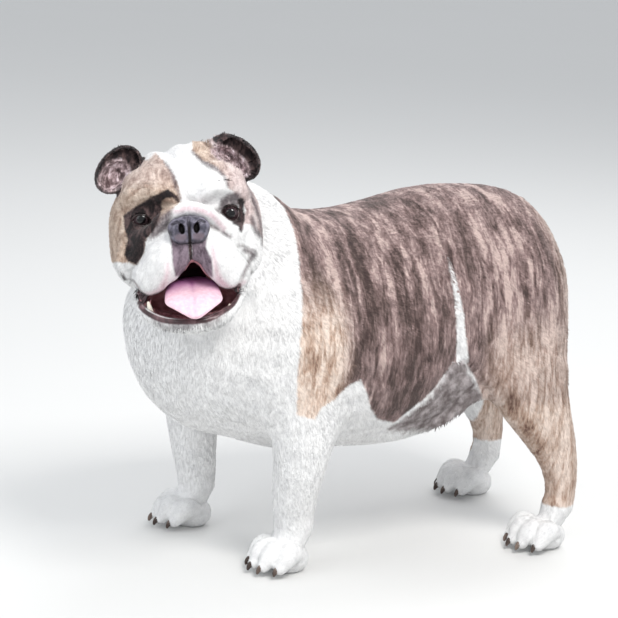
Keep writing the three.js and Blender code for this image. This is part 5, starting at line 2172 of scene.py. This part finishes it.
@dataclass
class Claws(Part):
    """The four claws of one paw."""

    kind: Kind
    side: Side
    half_width: float = 29.0
    toes: tuple = ((-0.72, 17, -13), (-0.25, 27, -4), (0.25, 27, 4), (0.72, 17, 13))
    sections: tuple = ((5, 13, 3.0), (11, 12, 2.9), (15.5, 8.6, 2.4), (17.5, 4.0, 0.9))

    def made(self) -> Object:
        """Builds the claws as one piece."""
        balls = []
        for across, ahead, fan in self.toes:
            rows = []
            for reach, height, wide in self.sections:
                x = across * self.half_width + reach * math.sin(math.radians(fan))
                rows.append((x, -ahead - reach, height, wide, 1.25 * wide))
            ball = ball_mesh("claw", 16, 18)
            places = self.stance.paw_outward(self.kind, self.side, strung(ball, rows))
            set_points(ball, self.stance.metres(places))
            balls.append(ball)
        name = f"claws_{self.kind.value}_{self.side.label}"
        return new_object(name, joined(name, balls))


@dataclass
class Studio:
    """The floor, the lights and the camera, set as the photograph was taken."""

    stance: Stance
    azimuth: float = 58.0
    elevation: float = 12.5
    roll: float = 3.0
    distance: float = 3.0
    focal_pixels: float = 2600.0
    image_width: int = 618
    aim: tuple = (-75.0, -48.0, 253.0)
    light_aim: float = 0.2
    light_distance: float = 2.6
    floor_radius: float = 60.0
    floor_gap: float = 0.0004

    def camera_point(self) -> Rows:
        """The camera's place in the dog's frame."""
        return np.array(self.aim) + direction(self.azimuth, self.elevation) * self.distance / MM

    def camera(self) -> None:
        """Sets the camera at the photograph's viewing angle."""
        back = Vector(direction(self.azimuth, self.elevation))
        lens = bpy.data.cameras.new("camera")
        lens.sensor_width = 36.0
        lens.lens = self.focal_pixels * lens.sensor_width / self.image_width
        lens.clip_end = 100
        camera = bpy.data.objects.new("camera", lens)
        bpy.context.scene.collection.objects.link(camera)
        aim = Vector(self.stance.metres(np.array(self.aim)))
        camera.rotation_mode = "QUATERNION"
        roll = Quaternion((0, 0, 1), math.radians(self.roll))
        camera.rotation_quaternion = (-back).to_track_quat("-Z", "Y") @ roll
        camera.location = aim + back * self.distance
        bpy.context.scene.camera = camera

    def light(
        self, name: str, azimuth: float, elevation: float, size: float, power: float, colour: tuple
    ) -> None:
        """Sets one broad soft light that faces the dog.

        Args:
            name: the light's name.
            azimuth: its direction round the dog, as the camera's is measured.
            elevation: its height in degrees.
            size: its width in metres.
            power: its strength in watts.
            colour: its red, green and blue.
        """
        back = Vector(direction(azimuth, elevation))
        lamp = bpy.data.lights.new(name, "AREA")
        lamp.size = size
        lamp.energy = power
        lamp.color = colour
        made = bpy.data.objects.new(name, lamp)
        made.location = Vector((0, 0, self.light_aim)) + back * self.light_distance
        made.rotation_mode = "QUATERNION"
        made.rotation_quaternion = (-back).to_track_quat("-Z", "Y")
        bpy.context.scene.collection.objects.link(made)

    def floor(self) -> None:
        """Lays a plain pale floor."""
        bm = bmesh.new()
        bmesh.ops.create_circle(bm, cap_ends=True, segments=96, radius=self.floor_radius)
        mesh = mesh_from(bm, "floor")
        floor = new_object("floor", mesh, smooth=False)
        floor.location.z = -self.floor_gap
        material = bpy.data.materials.new("floor")
        material.use_nodes = True
        shader = material.node_tree.nodes["Principled BSDF"]
        g = Graph(material.node_tree)
        g.feed(shader.inputs["Base Color"], g.mix(g.noise(1.5), (0.735, 0.735, 0.725), (0.75, 0.75, 0.742)))
        shader.inputs["Roughness"].default_value = 0.9
        mesh.materials.append(material)

    def made(self) -> None:
        """Sets up the studio."""
        scene = bpy.context.scene
        scene.view_settings.view_transform = "Standard"
        world = bpy.data.worlds.new("studio")
        world.use_nodes = True
        sky = world.node_tree.nodes["Background"].inputs
        sky["Color"].default_value = (0.93, 0.96, 1.0, 1)
        sky["Strength"].default_value = 0.72
        scene.world = world
        self.camera()
        self.floor()
        self.light("key", 84, 50, 0.9, 46, (1.0, 0.98, 0.95))
        self.light("fill", 8, 30, 1.8, 16, (0.95, 0.98, 1.0))
        self.light("back", 215, 50, 1.6, 24, (1.0, 1.0, 1.0))


def dressed(piece: Object, material: Material, nodes: tuple = ()) -> None:
    """Gives a piece its material, lets it ride on the body, and logs its triangles.

    Args:
        piece: the piece.
        material: its material.
        nodes: the nodes of the solids that it stands for.
    """
    piece.data.materials.clear()
    piece.data.materials.append(material)
    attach(piece, BODY)
    if nodes:
        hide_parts(*nodes)
    log.info("%s: %d triangles", piece.name, len(triangles_of(piece.data)))


def add_head_parts(dog: tuple, towards: Rows, grains: NodeTree) -> None:
    """Adds the eyes with their rims, the nose, the tongue and the teeth.

    Args:
        dog: what every part of the dog shares.
        towards: the point that the eyes look at.
        grains: the shared grain.
    """
    eye = EyeFinish("eye", roughness=0.08, coat=0.9, specular=0.1).made()
    rim = GrainFinish(
        "lid rim", 0.3, 0.4, low=(0.014, 0.008, 0.008), high=(0.05, 0.03, 0.03), size=700, depth=0.0001
    ).made(grains)
    leather = GrainFinish(
        "nose leather", 0.4, 0.25, low=(0.058, 0.055, 0.078), high=(0.230, 0.215, 0.275), size=900,
        pebbles=0.8,
    ).made(grains)
    # Its hollow colour is painted shade: darker purple towards the back of the mouth and in the groove.
    flesh = GrainFinish(
        "tongue", 0.42, 0.35, low=(0.86, 0.56, 0.65), high=(0.94, 0.68, 0.77), hollow=(0.42, 0.14, 0.36),
        size=1100, depth=0.00012,
    ).made(grains)
    ivory = GrainFinish(
        "tooth", 0.25, 0.3, low=(0.66, 0.60, 0.50), high=(0.80, 0.76, 0.68), size=500, pebbles=0.0,
        depth=0.0001,
    ).made(grains)
    for side in Side:
        dressed(Eye(*dog, side, towards).made(), eye, ("eye_" + side.label,))
        dressed(LidRim(*dog, side).made(), rim)
    dressed(Nose(*dog).made(), leather, ("nose",))
    dressed(Tongue(*dog).made(), flesh, ("tongue",))
    dressed(Teeth(*dog).made(), ivory)


def add_claws(dog: tuple, grains: NodeTree) -> None:
    """Adds the claws of all four feet."""
    horn = GrainFinish(
        "claw horn", 0.35, 0.1, low=(0.05, 0.035, 0.03), high=(0.20, 0.15, 0.125), size=260, pebbles=0.1,
        depth=0.0002,
    ).made(grains)
    for kind, side in itertools.product(Kind, Side):
        nodes = tuple(f"{kind.value}claw_{side.label}_{number}" for number in range(1, 5))
        dressed(Claws(*dog, kind, side).made(), horn, nodes)


def main() -> None:
    """Builds the pieces in order."""
    logging.basicConfig(level=logging.INFO, format="%(message)s")
    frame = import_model()
    solids = frame["nodes"]
    stance, head = read_stance()
    dog = (stance, head, HeadForm())
    studio = Studio(stance)
    studio.made()
    colours = coat_colours(Tones())
    grains = grain()
    marks = Marks(*dog)
    body = Skin(*dog)
    skin = body.made(solids)
    marks.store(skin.data, stance.millimetres(points_of(skin.data)))
    bare = CoatFinish("skin", 0.75, sheen=0.1, fringe=5.0).made(colours)
    dressed(skin, bare, tuple(body.nodes()))
    # Painted shade: a near-black finish where the throat would lie in shade.
    throat_shade_lining = GrainFinish(
        "throat", 0.7, specular=0.08, low=(0.008, 0.002, 0.003), high=(0.03, 0.007, 0.01)
    ).made(grains)
    body.line_throat(skin, throat_shade_lining)
    add_head_parts(dog, studio.camera_point(), grains)
    add_claws(dog, grains)
    coat = Coat(*dog, marks, Lie(*dog))
    hair = CoatFinish("hair", 0.7, sheen=0.15, fringe=2.5, hair_depth=0.0002).made(colours)
    for patch, piece in zip(coat.patches(), coat.made(skin)):
        dressed(piece, hair)


if __name__ == "__main__":
    main()
